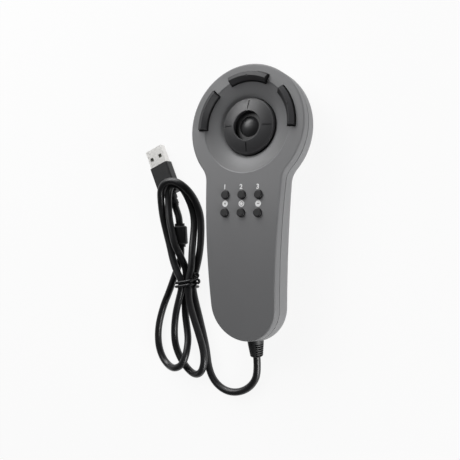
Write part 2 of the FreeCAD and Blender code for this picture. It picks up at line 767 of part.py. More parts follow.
def round_button(x, y):
    """Round key of the handle, with the flange that keeps it in and the stem that presses its dome."""
    level = face_height(y)
    flange_top = level - case_wall - key_flange_gap
    cap = post((x, y), flange_top - key_flange_thickness / 2, level + key_height, key_radius)
    cap = cap.makeFillet(key_edge_round, [edge for edge in cap.Edges
                                          if edge.BoundBox.ZMin > level + key_height - 0.01])
    flange = post((x, y), flange_top - key_flange_thickness, flange_top, key_flange_radius)
    stem = post((x, y), handle_dome_top + button_gap, flange_top - key_flange_thickness / 2, key_stem_radius)
    return joined([cap, flange, stem])


def mat(outline, dome_places, sheet_top, holes):
    """Rubber mat with a dome under each button."""
    domes = [Part.makeCone(mat_dome_radius, 0.7 * mat_dome_radius, mat_dome_height, Vector(x, y, sheet_top))
             for x, y in dome_places]
    return outline.fuse(domes).cut(holes).removeSplitter()


def head_mat():
    """Rubber mat under the disc, the centre button and the arc buttons."""
    places = [(0, 0)] + [polar(pusher_circle_radius, quarter) for quarter in (0, 90, 180, 270)]
    for angle in arc_angles.values():
        places += [polar(arc_pin_circle_radius, angle + turn) for turn in (-arc_pin_angle, arc_pin_angle)]
    sheet = post((0, 0), head_board_top, head_sheet_top, head_board_radius - mat_margin)
    return mat(sheet, places, head_sheet_top, head_holes(head_board_top, head_sheet_top))


def head_holes(low, high):
    """Holes that the screw bosses and the board posts need between two heights in the head."""
    holes = [post(polar(radius, angle), low, high, case_boss_radius + hole_clearance) for radius, angle in head_bosses]
    return holes + [post(polar(radius, angle), low, high, post_radius + hole_clearance)
                    for radius, angle in head_posts]


def head_board():
    """Round circuit board in the head, held to its posts by screws."""
    board = post((0, 0), head_board_low, head_board_top, head_board_radius)
    holes = [post(polar(radius, angle), head_board_low, head_board_top, case_boss_radius + hole_clearance)
             for radius, angle in head_bosses]
    holes += [post(polar(radius, angle), head_board_low, head_board_top, board_screw_radius + screw_clearance)
              for radius, angle in head_posts]
    return board.cut(holes)


def keypad_mat():
    """Rubber mat under the six round keys."""
    length = handle_mat_top_y - handle_mat_low_y
    middle = (0, (handle_mat_top_y + handle_mat_low_y) / 2)
    sheet = block(middle, handle_board_top, handle_sheet_top, 2 * handle_mat_half_width, length)
    return mat(sheet, [(x, y) for x in key_columns_x for y in key_rows_y], handle_sheet_top, [])


def keypad_board():
    """Circuit board under the keys, held to its posts by screws."""
    length = handle_board_top_y - handle_board_low_y
    middle = (0, (handle_board_top_y + handle_board_low_y) / 2)
    board = block(middle, handle_board_low, handle_board_top, 2 * handle_board_half_width, length)
    return board.cut([post(place, handle_board_low, handle_board_top, board_screw_radius + screw_clearance)
                      for place in handle_posts])


def controller_chip():
    """Controller in its flat package, under the head board."""
    return block((0, chip_y), head_board_low - chip_height, head_board_low, chip_side, chip_side)


def board_components():
    """Small parts under the head board: a crystal and a few capacitors."""
    parts = [block((-chip_side, chip_y), head_board_low - crystal_height, head_board_low,
                   crystal_width, crystal_length)]
    for step in range(capacitor_count):
        place = (chip_side, chip_y + (step - (capacitor_count - 1) / 2) * capacitor_pitch)
        parts.append(block(place, head_board_low - capacitor_height, head_board_low,
                           capacitor_length, capacitor_width))
    return parts


def ribbon_sockets():
    """Sockets at both ends of the ribbon cable, one under each board."""
    return [block((0, y), low - ribbon_socket_height, low, ribbon_socket_width, ribbon_socket_length)
            for y, low in ((head_socket_y, head_board_low), (handle_socket_y, handle_board_low))]


def ribbon_cable():
    """Flat cable that steps up from the head board to the keypad board."""
    start = (head_socket_y - ribbon_socket_length / 2, head_board_low - ribbon_socket_height / 2)
    end = (handle_socket_y + ribbon_socket_length / 2, handle_board_low - ribbon_socket_height / 2)
    first_bend = (-head_board_radius - hole_clearance, start[1])
    second_bend = (first_bend[0] - (start[1] - end[1]) * -ribbon_slant, end[1])
    half = ribbon_thickness / 2
    upper = [(y, z + half) for y, z in (start, first_bend, second_bend, end)]
    lower = [(y, z - half) for y, z in (end, second_bend, first_bend, start)]
    corners = [Vector(-ribbon_width / 2, y, z) for y, z in upper + lower]
    return Part.Face(Part.makePolygon(corners + corners[:1])).extrude(Vector(ribbon_width, 0, 0))


def cable_header():
    """Header under the keypad board that the cable's plug goes into."""
    return block((0, header_y), handle_board_low - header_height, handle_board_low, header_width, header_length)


def header_plug_rear():
    """Place where the wires leave the plug in the header."""
    return header_y - header_length / 2 - header_plug_length


def header_plug():
    """Plug on the inner end of the cable, pushed up to the header."""
    middle = header_y - header_length / 2 - header_plug_length / 2
    return block((0, middle), -inner_cable_level - header_plug_height / 2,
                 -inner_cable_level + header_plug_height / 2, header_plug_width, header_plug_length)


def strain_relief():
    """Ribbed rubber boot, with the flange that keeps it in the shell."""
    inner = -boot_flange_inset
    path = [(0, inner), (boot_flange_radius, inner), (boot_flange_radius, inner + boot_flange_thickness),
            (boot_root_radius, inner + boot_flange_thickness), (boot_root_radius, boot_root_length)]
    pitch = (boot_length - boot_root_length) / boot_rib_count
    for rib in range(boot_rib_count):
        start = boot_root_length + rib * pitch
        share = (rib + 1) / boot_rib_count
        radius = boot_root_radius + (boot_tip_radius - boot_root_radius) * share
        slot_end = start + pitch * (1 - boot_rib_share)
        path += [(boot_core_radius, start), (boot_core_radius, slot_end), (radius, slot_end), (radius, start + pitch)]
    path.append((0, boot_length))
    boot = turned(path)
    boot.Placement = gland_frame()
    return boot


def route_wire(points):
    """Path of straight runs joined by tangent arcs, with the radius of each arc."""
    points = [Vector(*point) for point in points]
    edges = []
    radii = []
    here = points[0]
    for before, corner, after in zip(points, points[1:], points[2:]):
        into = (corner - before).normalize()
        onward = (after - corner).normalize()
        turn = into.getAngle(onward)
        shorter = min((corner - before).Length, (after - corner).Length)
        radius = arc_share * shorter / math.tan(turn / 2)
        cut = arc_share * shorter
        start = corner - into * cut
        end = corner + onward * cut
        towards = (onward - into).normalize()
        middle = corner + towards * (radius / math.cos(turn / 2) - radius)
        edges.append(line(here, start))
        edges.append(Part.Arc(start, middle, end).toShape())
        radii.append(radius)
        here = end
    edges.append(line(here, points[-1]))
    return Part.Wire(edges), radii


def least_self_gap(wire, diameter):
    """Least gap between two stretches of one tube that are not next to each other."""
    points = wire.discretize(Distance=1.0)
    skip = int(3 * diameter)
    least = min((a - b).Length for index, a in enumerate(points) for b in points[index + skip:])
    return least - diameter


def tube(name, points, diameter):
    """Tube along a route, with its measures printed."""
    wire, radii = route_wire(points)
    start = wire.Edges[0]
    tangent = start.tangentAt(start.FirstParameter)
    circle = Part.Wire(Part.makeCircle(diameter / 2, start.valueAt(start.FirstParameter), tangent))
    solid = wire.makePipeShell([circle], True, False)
    expected = wire.Length * math.pi * diameter ** 2 / 4
    print(f"{name}: length {wire.Length:.1f}, least bend radius {min(radii):.1f}, "
          f"radii {' '.join(f'{radius:.0f}' for radius in radii)}, volume ratio {solid.Volume / expected:.4f}")
    return solid, wire


def ferrite_bead():
    """Ferrite core in its moulding, with stepped collars, on the cable."""
    low = Vector(*ferrite_low_end)
    high = Vector(*ferrite_high_end)
    collar = ferrite_collar_length
    top = collar + ferrite_length
    bore = cable_diameter / 2 + ferrite_bore_clearance
    edge = ferrite_edge_round
    bead = turned([
        (bore, 0), (ferrite_collar_radius, 0), (ferrite_collar_radius, collar),
        (ferrite_radius - edge, collar), (ferrite_radius, collar + edge), (ferrite_radius, top - edge),
        (ferrite_radius - edge, top), (ferrite_collar_radius, top), (ferrite_collar_radius, top + collar),
        (bore, top + collar),
    ])
    bead.Placement = FreeCAD.Placement(low, FreeCAD.Rotation(Vector(0, 0, 1), high - low))
    return bead


def plug_frame():
    """Place of the plug on the table, with Y pointing out of its tip."""
    return FreeCAD.Placement(Vector(plug_face_x, plug_face_y, plug_body_height / 2),
                             FreeCAD.Rotation(Vector(0, 0, 1), plug_turn_deg))


def plug_block(width, height, start, end, level=0.0):
    """Block in the plug's own frame, centred across it, between two places along it."""
    return Part.makeBox(width, end - start, height, Vector(-width / 2, start, level - height / 2))


def plug_body():
    """Moulded grip of the plug, with the pocket that holds the metal shell."""
    body = plug_block(plug_body_width, plug_body_height, -plug_body_length, 0)
    long_edges = [edge for edge in body.Edges if abs(edge.BoundBox.YLength - plug_body_length) < 0.01]
    rear_edges = [edge for edge in body.Edges if edge.BoundBox.YMax < -plug_body_length + 0.01]
    body = body.makeFillet(plug_body_round, long_edges + rear_edges)
    pocket = plug_block(plug_shell_width + 2 * plug_fit, plug_shell_height + 2 * plug_fit, -plug_shell_rooted, 1)
    return body.cut(pocket)


def plug_shell():
    """Metal shell of the plug, with two square windows in each broad side and a round notch at its root."""
    shell = plug_block(plug_shell_width, plug_shell_height, -plug_shell_rooted, plug_shell_length)
    inner_width = plug_shell_width - 2 * plug_shell_wall
    inner_height = plug_shell_height - 2 * plug_shell_wall
    cuts = [plug_block(inner_width, inner_height, -plug_shell_rooted - 1, plug_shell_length + 1)]
    for side in (-plug_window_spread, plug_window_spread):
        middle = plug_shell_length - plug_window_from_tip
        window = plug_block(plug_window_side, 2 * plug_shell_height, middle - plug_window_side / 2,
                            middle + plug_window_side / 2)
        window.translate(Vector(side, 0, 0))
        cuts.append(window)
    cuts.append(Part.makeCylinder(plug_notch_radius, plug_shell_height, Vector(0, -plug_notch_setback, 0)))
    return shell.cut(cuts)


def plug_tongue():
    """Plastic tongue inside the metal shell, with the block that fills the shell's root."""
    width = plug_shell_width - 2 * plug_shell_wall - 2 * plug_fit
    height = plug_shell_height - 2 * plug_shell_wall - 2 * plug_fit
    root = plug_block(width, height, -plug_shell_rooted, -plug_fit)
    level = (height - plug_tongue_thickness) / 2
    tongue = plug_block(width, plug_tongue_thickness, -1, plug_shell_length - plug_tongue_setback, level)
    return root.fuse(tongue).removeSplitter()


def plug_contacts():
    """Four contacts under the tongue."""
    height = plug_shell_height - 2 * plug_shell_wall - 2 * plug_fit
    level = height / 2 - plug_tongue_thickness - plug_contact_height / 2
    end = plug_shell_length - plug_tongue_setback - plug_fit
    contacts = []
    for step in range(4):
        contact = plug_block(plug_contact_width, plug_contact_height, end - plug_contact_length, end, level)
        contact.translate(Vector((step - 1.5) * plug_contact_pitch, 0, 0))
        contacts.append(contact)
    return contacts


def relief_length():
    """Length of the rings behind the plug."""
    return sum(length for radius, length in plug_relief_rings)


def plug_relief():
    """Stepped rubber rings between the cable and the plug's grip."""
    path = [(0, 0)]
    along = 0.0
    for radius, length in plug_relief_rings:
        path += [(radius, along), (radius, along + length)]
        along += length
    path.append((0, along))
    relief = turned(path)
    relief.Placement = FreeCAD.Placement(Vector(0, -plug_body_length, 0), FreeCAD.Rotation(Vector(1, 0, 0), 90))
    return relief


def cable_tie():
    """Coated wire wound twice round the four strands, with both ends curled into eyes."""
    (left, right), (low, high) = tie_columns_x, tie_rows_z
    reach = cable_diameter / 2 + tie_gap + tie_wire_radius
    wraps = []
    for y in tie_wraps_y:
        def at(x, z):
            return Vector(x, y, z)
        half = math.sqrt(0.5) * reach
        corners = [
            (at(left, high + reach), at(left - half, high + half), at(left - reach, high)),
            (at(left - reach, low), at(left - half, low - half), at(left, low - reach)),
            (at(right, low - reach), at(right + half, low - half), at(right + reach, low)),
            (at(right + reach, high), at(right + half, high + half), at(right, high + reach)),
        ]
        edges = []
        for index, (start, middle, end) in enumerate(corners):
            edges.append(Part.Arc(start, middle, end).toShape())
            edges.append(line(end, corners[(index + 1) % len(corners)][0]))
        path = Part.Wire(edges)
        circle = Part.Wire(Part.makeCircle(tie_wire_radius, at(left, high + reach), Vector(1, 0, 0)))
        wraps.append(path.makePipeShell([circle], True, False))
    view = Vector(0.49, 0, 0.87)
    eyes = [Part.makeTorus(tie_eye_radius, tie_wire_radius, Vector(*eye), view) for eye in tie_eyes]
    ends = [Vector(right + reach, y, high - reach / 2) for y in tie_wraps_y]
    links = []
    for eye, end in zip(tie_eyes, ends):
        start = Vector(*eye) - (Vector(*eye) - end).normalize() * tie_eye_radius
        links.append(Part.makeCylinder(tie_wire_radius, (end - start).Length, start, end - start))
    return joined(wraps + eyes + links)


def case_tilt():
    """Angle that lays the pad on its back: the tip of the head and the end of the handle at one height."""
    head_y = head_centre_y + head_radius - back_edge_round
    head_z = back_height(0) + back_edge_round
    end_y = handle_end_y + back_edge_round
    end_z = back_height(0) - back_arch_radius + sphere_offset(back_arch_radius + back_edge_round, end_y)
    return -math.atan2(head_z - end_z, head_y - end_y)


def table_placement():
    """Move from the pad's own frame to the table, with the middle of the case over the origin."""
    tilt = case_tilt()
    sine, cosine = math.sin(tilt), math.cos(tilt)
    head_y = head_centre_y + head_radius
    lowest = (head_y - back_edge_round) * sine + (back_height(0) + back_edge_round) * cosine - back_edge_round
    front = (head_y - face_edge_round) * cosine + face_edge_round * sine + face_edge_round
    end_z = back_height(0) - back_arch_radius + sphere_offset(back_arch_radius + back_edge_round,
                                                              handle_end_y + back_edge_round)
    rear = (handle_end_y + back_edge_round) * cosine - end_z * sine - back_edge_round
    move = Vector(0, -(front + rear) / 2, -lowest - rest_flat_depth)
    return FreeCAD.Placement(move, FreeCAD.Rotation(Vector(1, 0, 0), math.degrees(tilt)))


def laid(shape, placement):
    """Copy of a shape moved by one placement."""
    copy = shape.copy()
    copy.Placement = placement.multiply(copy.Placement)
    return copy


def case_pieces():
    """Every piece of the case and inside it, in the pad's own frame."""
    disc, ticks = direction_disc()
    pieces = {
        "front_shell": [front_shell()],
        "back_shell": [back_shell()],
        "housing_screws": housing_screws(),
        "direction_disc": [disc.cut(ticks)],
        "pivot_bushing": [pivot_bushing()],
        "pivot_collar": [pivot_collar()],
        "centre_button": [centre_button()],
        "head_mat": [head_mat()],
        "head_board": [head_board()],
        "keypad_mat": [keypad_mat()],
        "keypad_board": [keypad_board()],
        "board_screws": board_screws(),
        "controller_chip": [controller_chip()],
        "board_components": board_components(),
        "ribbon_sockets": ribbon_sockets(),
        "ribbon_cable": [ribbon_cable()],
        "cable_header": [cable_header()],
        "header_plug": [header_plug()],
        "strain_relief": [strain_relief()],
    }
    for side in arc_angles:
        pieces[f"arc_button_{side}"] = [arc_button(side)]
    number = 0
    for y in key_rows_y:
        for x in key_columns_x:
            number += 1
            pieces[f"round_button_{number}"] = [round_button(x, y)]
    gland = gland_frame()
    inner_end = gland.multVec(Vector(0, 0, -boot_flange_inset))
    before_end = gland.multVec(Vector(0, 0, -boot_flange_inset - inner_cable_last_run))
    route = [(0, header_plug_rear(), -inner_cable_level),
             (0, header_plug_rear() - inner_cable_first_run, -inner_cable_level),
             tuple(before_end), tuple(inner_end)]
    pieces["inner_cable"] = [tube("inner_cable", route, cable_diameter)[0]]
    return pieces


def cord_pieces(table):
    """Every piece of the cable outside the case, on the table."""
    gland = table.multiply(gland_frame())
    tip = gland.multVec(Vector(0, 0, boot_length))
    first = gland.multVec(Vector(0, 0, boot_length + lead_first_run))
    plug = plug_frame()
    relief_end = plug.multVec(Vector(0, -plug_body_length - relief_length(), 0))
    routes = {
        "cable_lead": (tuple(tip), tuple(first)) + lead_points,
        "cable_hank": hank_points + (ferrite_low_end,),
        "cable_tail": (ferrite_low_end,) + tail_points + (tuple(relief_end),),
    }
    pieces = {}
    for name, points in routes.items():
        solid, wire = tube(name, points, cable_diameter)
        print(f"{name}: least gap to itself {least_self_gap(wire, cable_diameter):.2f}")
        pieces[name] = [solid]
    pieces["ferrite_bead"] = [ferrite_bead()]
    pieces["cable_tie"] = [cable_tie()]
    for name, shapes in (("plug_body", [plug_body()]), ("plug_shell", [plug_shell()]),
                         ("plug_tongue", [plug_tongue()]), ("plug_contacts", plug_contacts()),
                         ("plug_relief", [plug_relief()])):
        pieces[name] = [laid(shape, plug) for shape in shapes]
    return pieces


def build():
    """Builds every piece and writes one file for each."""
    os.makedirs("parts", exist_ok=True)
    table = table_placement()
    pieces = {name: [laid(shape, table) for shape in shapes] for name, shapes in case_pieces().items()}
    below = Part.makeBox(case_reach, 2 * case_reach, case_reach,
                         Vector(-case_reach / 2, -case_reach, -case_reach))
    pieces["back_shell"] = [pieces["back_shell"][0].cut(below)]
    pieces.update(cord_pieces(table))
    for name, shapes in pieces.items():
        shape = shapes[0] if len(shapes) == 1 else Part.makeCompound(shapes)
        solids = shape.Solids
        if len(solids) != len(shapes) or not all(solid.isValid() for solid in solids):
            print(f"{name}: {len(solids)} solids, valid {[solid.isValid() for solid in solids]}")
        shape.exportStep(f"parts/{name}.step")
    print(f"{len(pieces)} pieces, tilt {math.degrees(case_tilt()):.3f}, "
          f"pivot {tuple(round(value, 4) for value in table.multVec(Vector(0, 0, -pivot_depth)))}, "
          f"case move {tuple(round(value, 4) for value in table.Base)}")


build()
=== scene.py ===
"""A wired wand gamepad on a pale table: finishes for its solids, printed marks, cable, boot, tie and a soft studio.

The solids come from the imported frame, in metres, with +Z up off the table. Sizes in the classes below are in
millimetres, as on a maker's drawing; the cable's route alone is written in metres, as the frame is.
"""

import logging
import math
from dataclasses import dataclass
from enum import Enum
from typing import Callable, Iterable, Sequence

import bpy
from mathutils import Matrix, Vector


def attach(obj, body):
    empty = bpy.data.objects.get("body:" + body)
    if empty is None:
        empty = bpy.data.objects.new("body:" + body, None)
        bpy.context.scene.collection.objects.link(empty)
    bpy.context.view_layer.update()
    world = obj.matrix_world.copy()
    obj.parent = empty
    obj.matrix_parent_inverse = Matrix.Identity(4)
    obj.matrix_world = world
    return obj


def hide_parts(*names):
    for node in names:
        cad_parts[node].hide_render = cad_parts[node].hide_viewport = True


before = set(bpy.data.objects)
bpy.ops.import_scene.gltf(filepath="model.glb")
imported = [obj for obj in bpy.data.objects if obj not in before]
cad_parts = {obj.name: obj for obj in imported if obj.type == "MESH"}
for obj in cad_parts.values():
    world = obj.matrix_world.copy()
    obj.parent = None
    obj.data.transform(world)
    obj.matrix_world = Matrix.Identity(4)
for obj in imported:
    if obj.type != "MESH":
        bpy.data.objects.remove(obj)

LOG = logging.getLogger("gamepad")
MM = 0.001
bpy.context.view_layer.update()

# Where the pad lies on the table: its tilt about X, and the place of the middle of its bowl, in millimetres
PAD_TILT_DEG = -5.644007
PAD_PLACE = (0.0, 44.42296, 22.069212)

Point = tuple[float, float, float]
Colour = tuple[float, float, float]


# Shader sums and nodes

class Signal:
    """A socket of a shader, on which Python's operators add Math nodes."""

    def __init__(self, paint: "Paint", socket: bpy.types.NodeSocket) -> None:
        """Keep the socket and the paint whose nodes it belongs to."""
        self.paint = paint
        self.socket = socket

    def maths(self, operation: str, *values: "Signal | float") -> "Signal":
        """Add one Math node.

        Args:
            operation: the node's operation.
            values: what goes into its sockets, in order.

        Returns:
            The node's result.
        """
        return self.paint.node("ShaderNodeMath", {"operation": operation}, dict(enumerate(values)))

    def __add__(self, other: "Signal | float") -> "Signal":
        """Sum."""
        return self.maths("ADD", self, other)

    __radd__ = __add__

    def __sub__(self, other: "Signal | float") -> "Signal":
        """Difference."""
        return self.maths("SUBTRACT", self, other)

    def __rsub__(self, other: float) -> "Signal":
        """Difference from a number."""
        return self.maths("SUBTRACT", other, self)

    def __mul__(self, other: "Signal | float") -> "Signal":
        """Product."""
        return self.maths("MULTIPLY", self, other)

    __rmul__ = __mul__

    def __pow__(self, other: float) -> "Signal":
        """Power."""
        return self.maths("POWER", self, other)

    def at_most(self, limit: float) -> "Signal":
        """The value, kept from going over a limit."""
        return self.maths("MINIMUM", self, limit)

    def above(self, limit: float) -> "Signal":
        """1 where the value is over a limit, and 0 elsewhere."""
        return self.maths("GREATER_THAN", self, limit)

    def wave(self) -> "Signal":
        """Sine of the value."""
        return self.maths("SINE", self)

    def between(self, low: float, high: float) -> "Signal":
        """Rise smoothly from 0 at one value to 1 at another."""
        sockets = {"Value": self, "From Min": low, "From Max": high}
        return self.paint.node("ShaderNodeMapRange", {"interpolation_type": "SMOOTHSTEP"}, sockets)


class Paint:
    """One material, built node by node around a Principled shader."""

    def __init__(self, name: str) -> None:
        """Start the material with its shader and the object's own coordinates."""
        self.material = bpy.data.materials.new(name)
        self.material.use_nodes = True
        self.tree = self.material.node_tree
        self.tree.nodes.clear()
        self.shader = self.tree.nodes.new("ShaderNodeBsdfPrincipled")
        output = self.tree.nodes.new("ShaderNodeOutputMaterial")
        self.tree.links.new(self.shader.outputs[0], output.inputs["Surface"])
        self.place = self.node("ShaderNodeTexCoord", output="Object")

    def feed(self, socket: bpy.types.NodeSocket, value: object) -> None:
        """Link a signal to a socket, or set the socket's own value."""
        if isinstance(value, Signal):
            self.tree.links.new(value.socket, socket)
        elif isinstance(value, tuple) and len(value) == 3 and socket.type == "RGBA":
            socket.default_value = (*value, 1.0)
        else:
            socket.default_value = value

    def node(self, kind: str, settings: dict[str, object] | None = None,
             sockets: dict[int | str, object] | None = None, output: int | str = 0) -> Signal:
        """Add any node.

        Args:
            kind: the node's type.
            settings: its properties, set first.
            sockets: values or signals for its sockets, by name or number.
            output: the socket that the signal reads.

        Returns:
            The signal of the chosen output.
        """
        node = self.tree.nodes.new(kind)
        for name, value in (settings or {}).items():
            setattr(node, name, value)
        for key, value in (sockets or {}).items():
            self.feed(node.inputs[key], value)
        return Signal(self, node.outputs[output])

    def axis(self, index: int) -> Signal:
        """One of the three coordinates, in metres."""
        return self.node("ShaderNodeSeparateXYZ", sockets={0: self.place}, output=index)

    def stretched(self, factors: Point) -> Signal:
        """The coordinates multiplied along each axis, so that a pattern is drawn out along one of them."""
        return self.node("ShaderNodeVectorMath", {"operation": "MULTIPLY"}, {0: self.place, 1: factors})

    def noise(self, size: float, detail: float = 2.0, roughness: float = 0.5, factors: Point = (1, 1, 1)) -> Signal:
        """Cloudy noise from 0 to 1.

        Args:
            size: the size of its largest lumps, in millimetres.
            detail: how many finer layers it has.
            roughness: how strong the finer layers are.
            factors: how much finer the pattern is along each axis.

        Returns:
            The noise.
        """
        sockets = {"Vector": self.stretched(factors), "Scale": 1.0 / (size * MM), "Detail": detail,
                   "Roughness": roughness}
        return self.node("ShaderNodeTexNoise", sockets=sockets)

    def cells(self, size: float) -> Signal:
        """Distance from the middle of the nearest cell, in a field of cells of one size in millimetres."""
        return self.node("ShaderNodeTexVoronoi", sockets={"Vector": self.place, "Scale": 1.0 / (size * MM)})

    def facing_up(self) -> Signal:
        """How far the surface faces up: 1 where it is level, 0 where it is upright."""
        normal = self.node("ShaderNodeNewGeometry", output="Normal")
        return self.node("ShaderNodeSeparateXYZ", sockets={0: normal}, output=2)

    def blend(self, factor: Signal | float, low: object, high: object) -> Signal:
        """Colour between two colours."""
        return self.node("ShaderNodeMix", {"data_type": "RGBA"}, {0: factor, 6: low, 7: high}, output=2)

    def bump(self, height: Signal, depth: float) -> Signal:
        """Normal of a surface with fine relief.

        Args:
            height: relief from 0 to 1.
            depth: its full depth, in millimetres.

        Returns:
            The normal.
        """
        return self.node("ShaderNodeBump", sockets={"Strength": 1.0, "Distance": depth * MM, "Height": height})

    def wear(self, centre: Point, radius: float, soft: float) -> Signal:
        """A round patch that is 1 in the middle and fades out at its edge, with sizes in millimetres."""
        place = tuple(value * MM for value in centre)
        reach = self.node("ShaderNodeVectorMath", {"operation": "DISTANCE"}, {0: self.place, 1: place}, "Value")
        return 1.0 - reach.between((radius - soft) * MM, (radius + soft) * MM)

    def set(self, **values: object) -> None:
        """Set sockets of the Principled shader, with underscores for the spaces in their names."""
        for name, value in values.items():
            self.feed(self.shader.inputs[name.replace("_", " ")], value)


def shade(value: Colour, factor: float) -> Colour:
    """A colour made lighter or darker."""
    return tuple(min(1.0, channel * factor) for channel in value)


# Finishes

@dataclass(frozen=True)
class MouldedPlastic:
    """Satin plastic from a spark-eroded mould, with a fine grain and faint handling marks."""

    name: str
    colour: Colour
    roughness: float = 0.45
    grain: float = 0.28
    depth: float = 0.012
    mottle: float = 0.05
    polish: tuple[Point, float] | None = None
    gloss: float = 0.5
    cloud_size: float = 23.0
    smear_size: float = 9.0
    speck_size: float = 0.9
    pit_share: float = 1.7

    def paint(self) -> bpy.types.Material:
        """Build the material."""
        paint = Paint(self.name)
        grain = paint.noise(self.grain, 3.0, 0.6)
        pits = paint.cells(self.grain * self.pit_share)
        clouds = paint.noise(self.cloud_size, 3.0, 0.55)
        smears = paint.noise(self.smear_size, 4.0, 0.7, (1.0, 0.35, 1.0))
        specks = paint.noise(self.speck_size, 2.0, 0.8)
        tone = clouds * 0.6 + specks * 0.25 + grain * 0.15
        rub = smears.between(0.56, 0.72)
        rough = self.roughness - 0.04 + 0.08 * clouds + 0.06 * grain - 0.05 * rub
        if self.polish is not None:
            patch = paint.wear(self.polish[0], self.polish[1], self.polish[1] * 0.35)
            rough = rough - 0.08 * patch
        relief = grain * 0.7 + pits * 0.3
        paint.set(
            Base_Color=self.colouring(paint, tone),
            Roughness=rough,
            Specular_IOR_Level=self.gloss,
            Normal=paint.bump(relief, self.depth),
        )
        return paint.material

    def colouring(self, paint: Paint, tone: Signal) -> Signal:
        """Base colour, with its faint clouds."""
        return paint.blend(tone, shade(self.colour, 1 - self.mottle), shade(self.colour, 1 + self.mottle))


@dataclass(frozen=True)
class DishedPlastic(MouldedPlastic):
    """The front shell's plastic, with painted shade that darkens it towards the rim of its bowl."""

    # Painted shade: it starts at one radius, is full at the next, stops at the rim, and darkens the colour by the
    # share
    dark_from: float = 19.0
    dark_to: float = 26.4
    rim: float = 27.1
    share: float = 0.24

    def colouring(self, paint: Paint, tone: Signal) -> Signal:
        """Base colour, darkened towards the rim by painted shade."""
        x, y, z = (paint.axis(index) for index in range(3))
        tilt = math.radians(PAD_TILT_DEG)
        along = (y - PAD_PLACE[1] * MM) * math.cos(tilt) + (z - PAD_PLACE[2] * MM) * math.sin(tilt)
        reach = (x * x + along * along) ** 0.5
        # Painted shade: darken the colour in a band inside the rim of the bowl
        rim_painted_shade = reach.between(self.dark_from * MM, self.dark_to * MM) * (1.0 - reach.above(self.rim * MM))
        return paint.blend(rim_painted_shade * self.share, super().colouring(paint, tone), (0.0, 0.0, 0.0))


@dataclass(frozen=True)
class FacetedPlastic(MouldedPlastic):
    """The arc keys' plastic: satin facets, and painted shade that colours their steep sides nearly black."""

    def colouring(self, paint: Paint, tone: Signal) -> Signal:
        """Base colour, with painted shade: nearly black on the steep sides."""
        # Painted shade: steep sides are coloured nearly black, as they would be in shadow
        painted_side_shade = 1.0 - paint.facing_up().between(0.35, 0.65)
        return paint.blend(painted_side_shade * 0.8, super().colouring(paint, tone), (0.004, 0.004, 0.004))


@dataclass(frozen=True)
class SoftRubber:
    """Smooth dark rubber or soft vinyl, with a bloom of dust and very fine flow lines."""

    name: str
    colour: Colour
    roughness: float = 0.38
    dust: float = 0.35
    grain: float = 0.35

    def paint(self) -> bpy.types.Material:
        """Build the material."""
        paint = Paint(self.name)
        grain = paint.noise(self.grain, 2.0, 0.6)
        clouds = paint.noise(11.0, 4.0, 0.6)
        bloom = clouds.between(0.45, 0.75)
        settled = bloom * paint.facing_up().between(-0.2, 1.0) * self.dust
        paint.set(
            Base_Color=paint.blend(settled, self.colour, shade(self.colour, 2.2)),
            Roughness=self.roughness + 0.10 * clouds + 0.05 * grain + 0.12 * settled,
            Normal=paint.bump(grain, 0.010),
        )
        return paint.material


@dataclass(frozen=True)
class SheetMetal:
    """Plated sheet or turned metal, with the drawn lines of its tool and faint fingerprints."""

    name: str
    colour: Colour
    roughness: float = 0.24
    drawn: Point = (1.0, 1.0, 1.0)

    def paint(self) -> bpy.types.Material:
        """Build the material."""
        paint = Paint(self.name)
        lines = paint.noise(0.9, 5.0, 0.65, self.drawn)
        smudge = paint.noise(5.0, 4.0, 0.6).between(0.45, 0.7)
        nicks = paint.noise(0.35, 2.0, 0.7).above(0.80)
        paint.set(
            Base_Color=paint.blend(smudge, self.colour, shade(self.colour, 0.88)),
            Metallic=1.0,
            Roughness=self.roughness + 0.12 * smudge + 0.08 * lines - 0.03 * nicks,
            Normal=paint.bump(lines * 0.8 + nicks * 0.2, 0.004),
        )
        return paint.material


@dataclass(frozen=True)
class Laminate:
    """Circuit board: solder mask over traces and pads."""

    name: str
    mask: Colour
    copper: Colour
    pitch: float = 1.6

    def paint(self) -> bpy.types.Material:
        """Build the material."""
        paint = Paint(self.name)
        pitch = self.pitch * MM
        across = (paint.axis(0) * (2 * math.pi / pitch)).wave()
        along = (paint.axis(1) * (2 * math.pi / pitch)).wave()
        lanes = paint.noise(7.0, 1.0, 0.4).above(0.52)
        trace = lanes * across.above(0.45) + (1.0 - lanes) * along.above(0.45)
        pads = 1.0 - paint.cells(3.1).between(0.14, 0.17)
        resin = paint.noise(0.6, 3.0, 0.6)
        green = paint.blend(trace, self.mask, shade(self.mask, 1.7))
        paint.set(
            Base_Color=paint.blend(pads, green, self.copper),
            Metallic=pads,
            Roughness=0.32 + 0.12 * resin - 0.08 * pads,
            Normal=paint.bump(trace * 0.6 + pads * 0.4, 0.03),
        )
        return paint.material


@dataclass(frozen=True)
class Translucent:
    """Milky silicone or natural nylon, with soft light in it."""

    name: str
    colour: Colour
    roughness: float = 0.42
    depth: float = 1.2

    def paint(self) -> bpy.types.Material:
        """Build the material."""
        paint = Paint(self.name)
        clouds = paint.noise(6.0, 3.0, 0.5)
        grain = paint.noise(0.4, 2.0, 0.5)
        paint.set(
            Base_Color=paint.blend(clouds, shade(self.colour, 0.9), self.colour),
            Roughness=self.roughness + 0.10 * grain,
            Subsurface_Weight=0.25,
            Subsurface_Radius=(self.depth * MM, self.depth * MM, self.depth * 0.8 * MM),
            Normal=paint.bump(grain, 0.008),
        )
        return paint.material


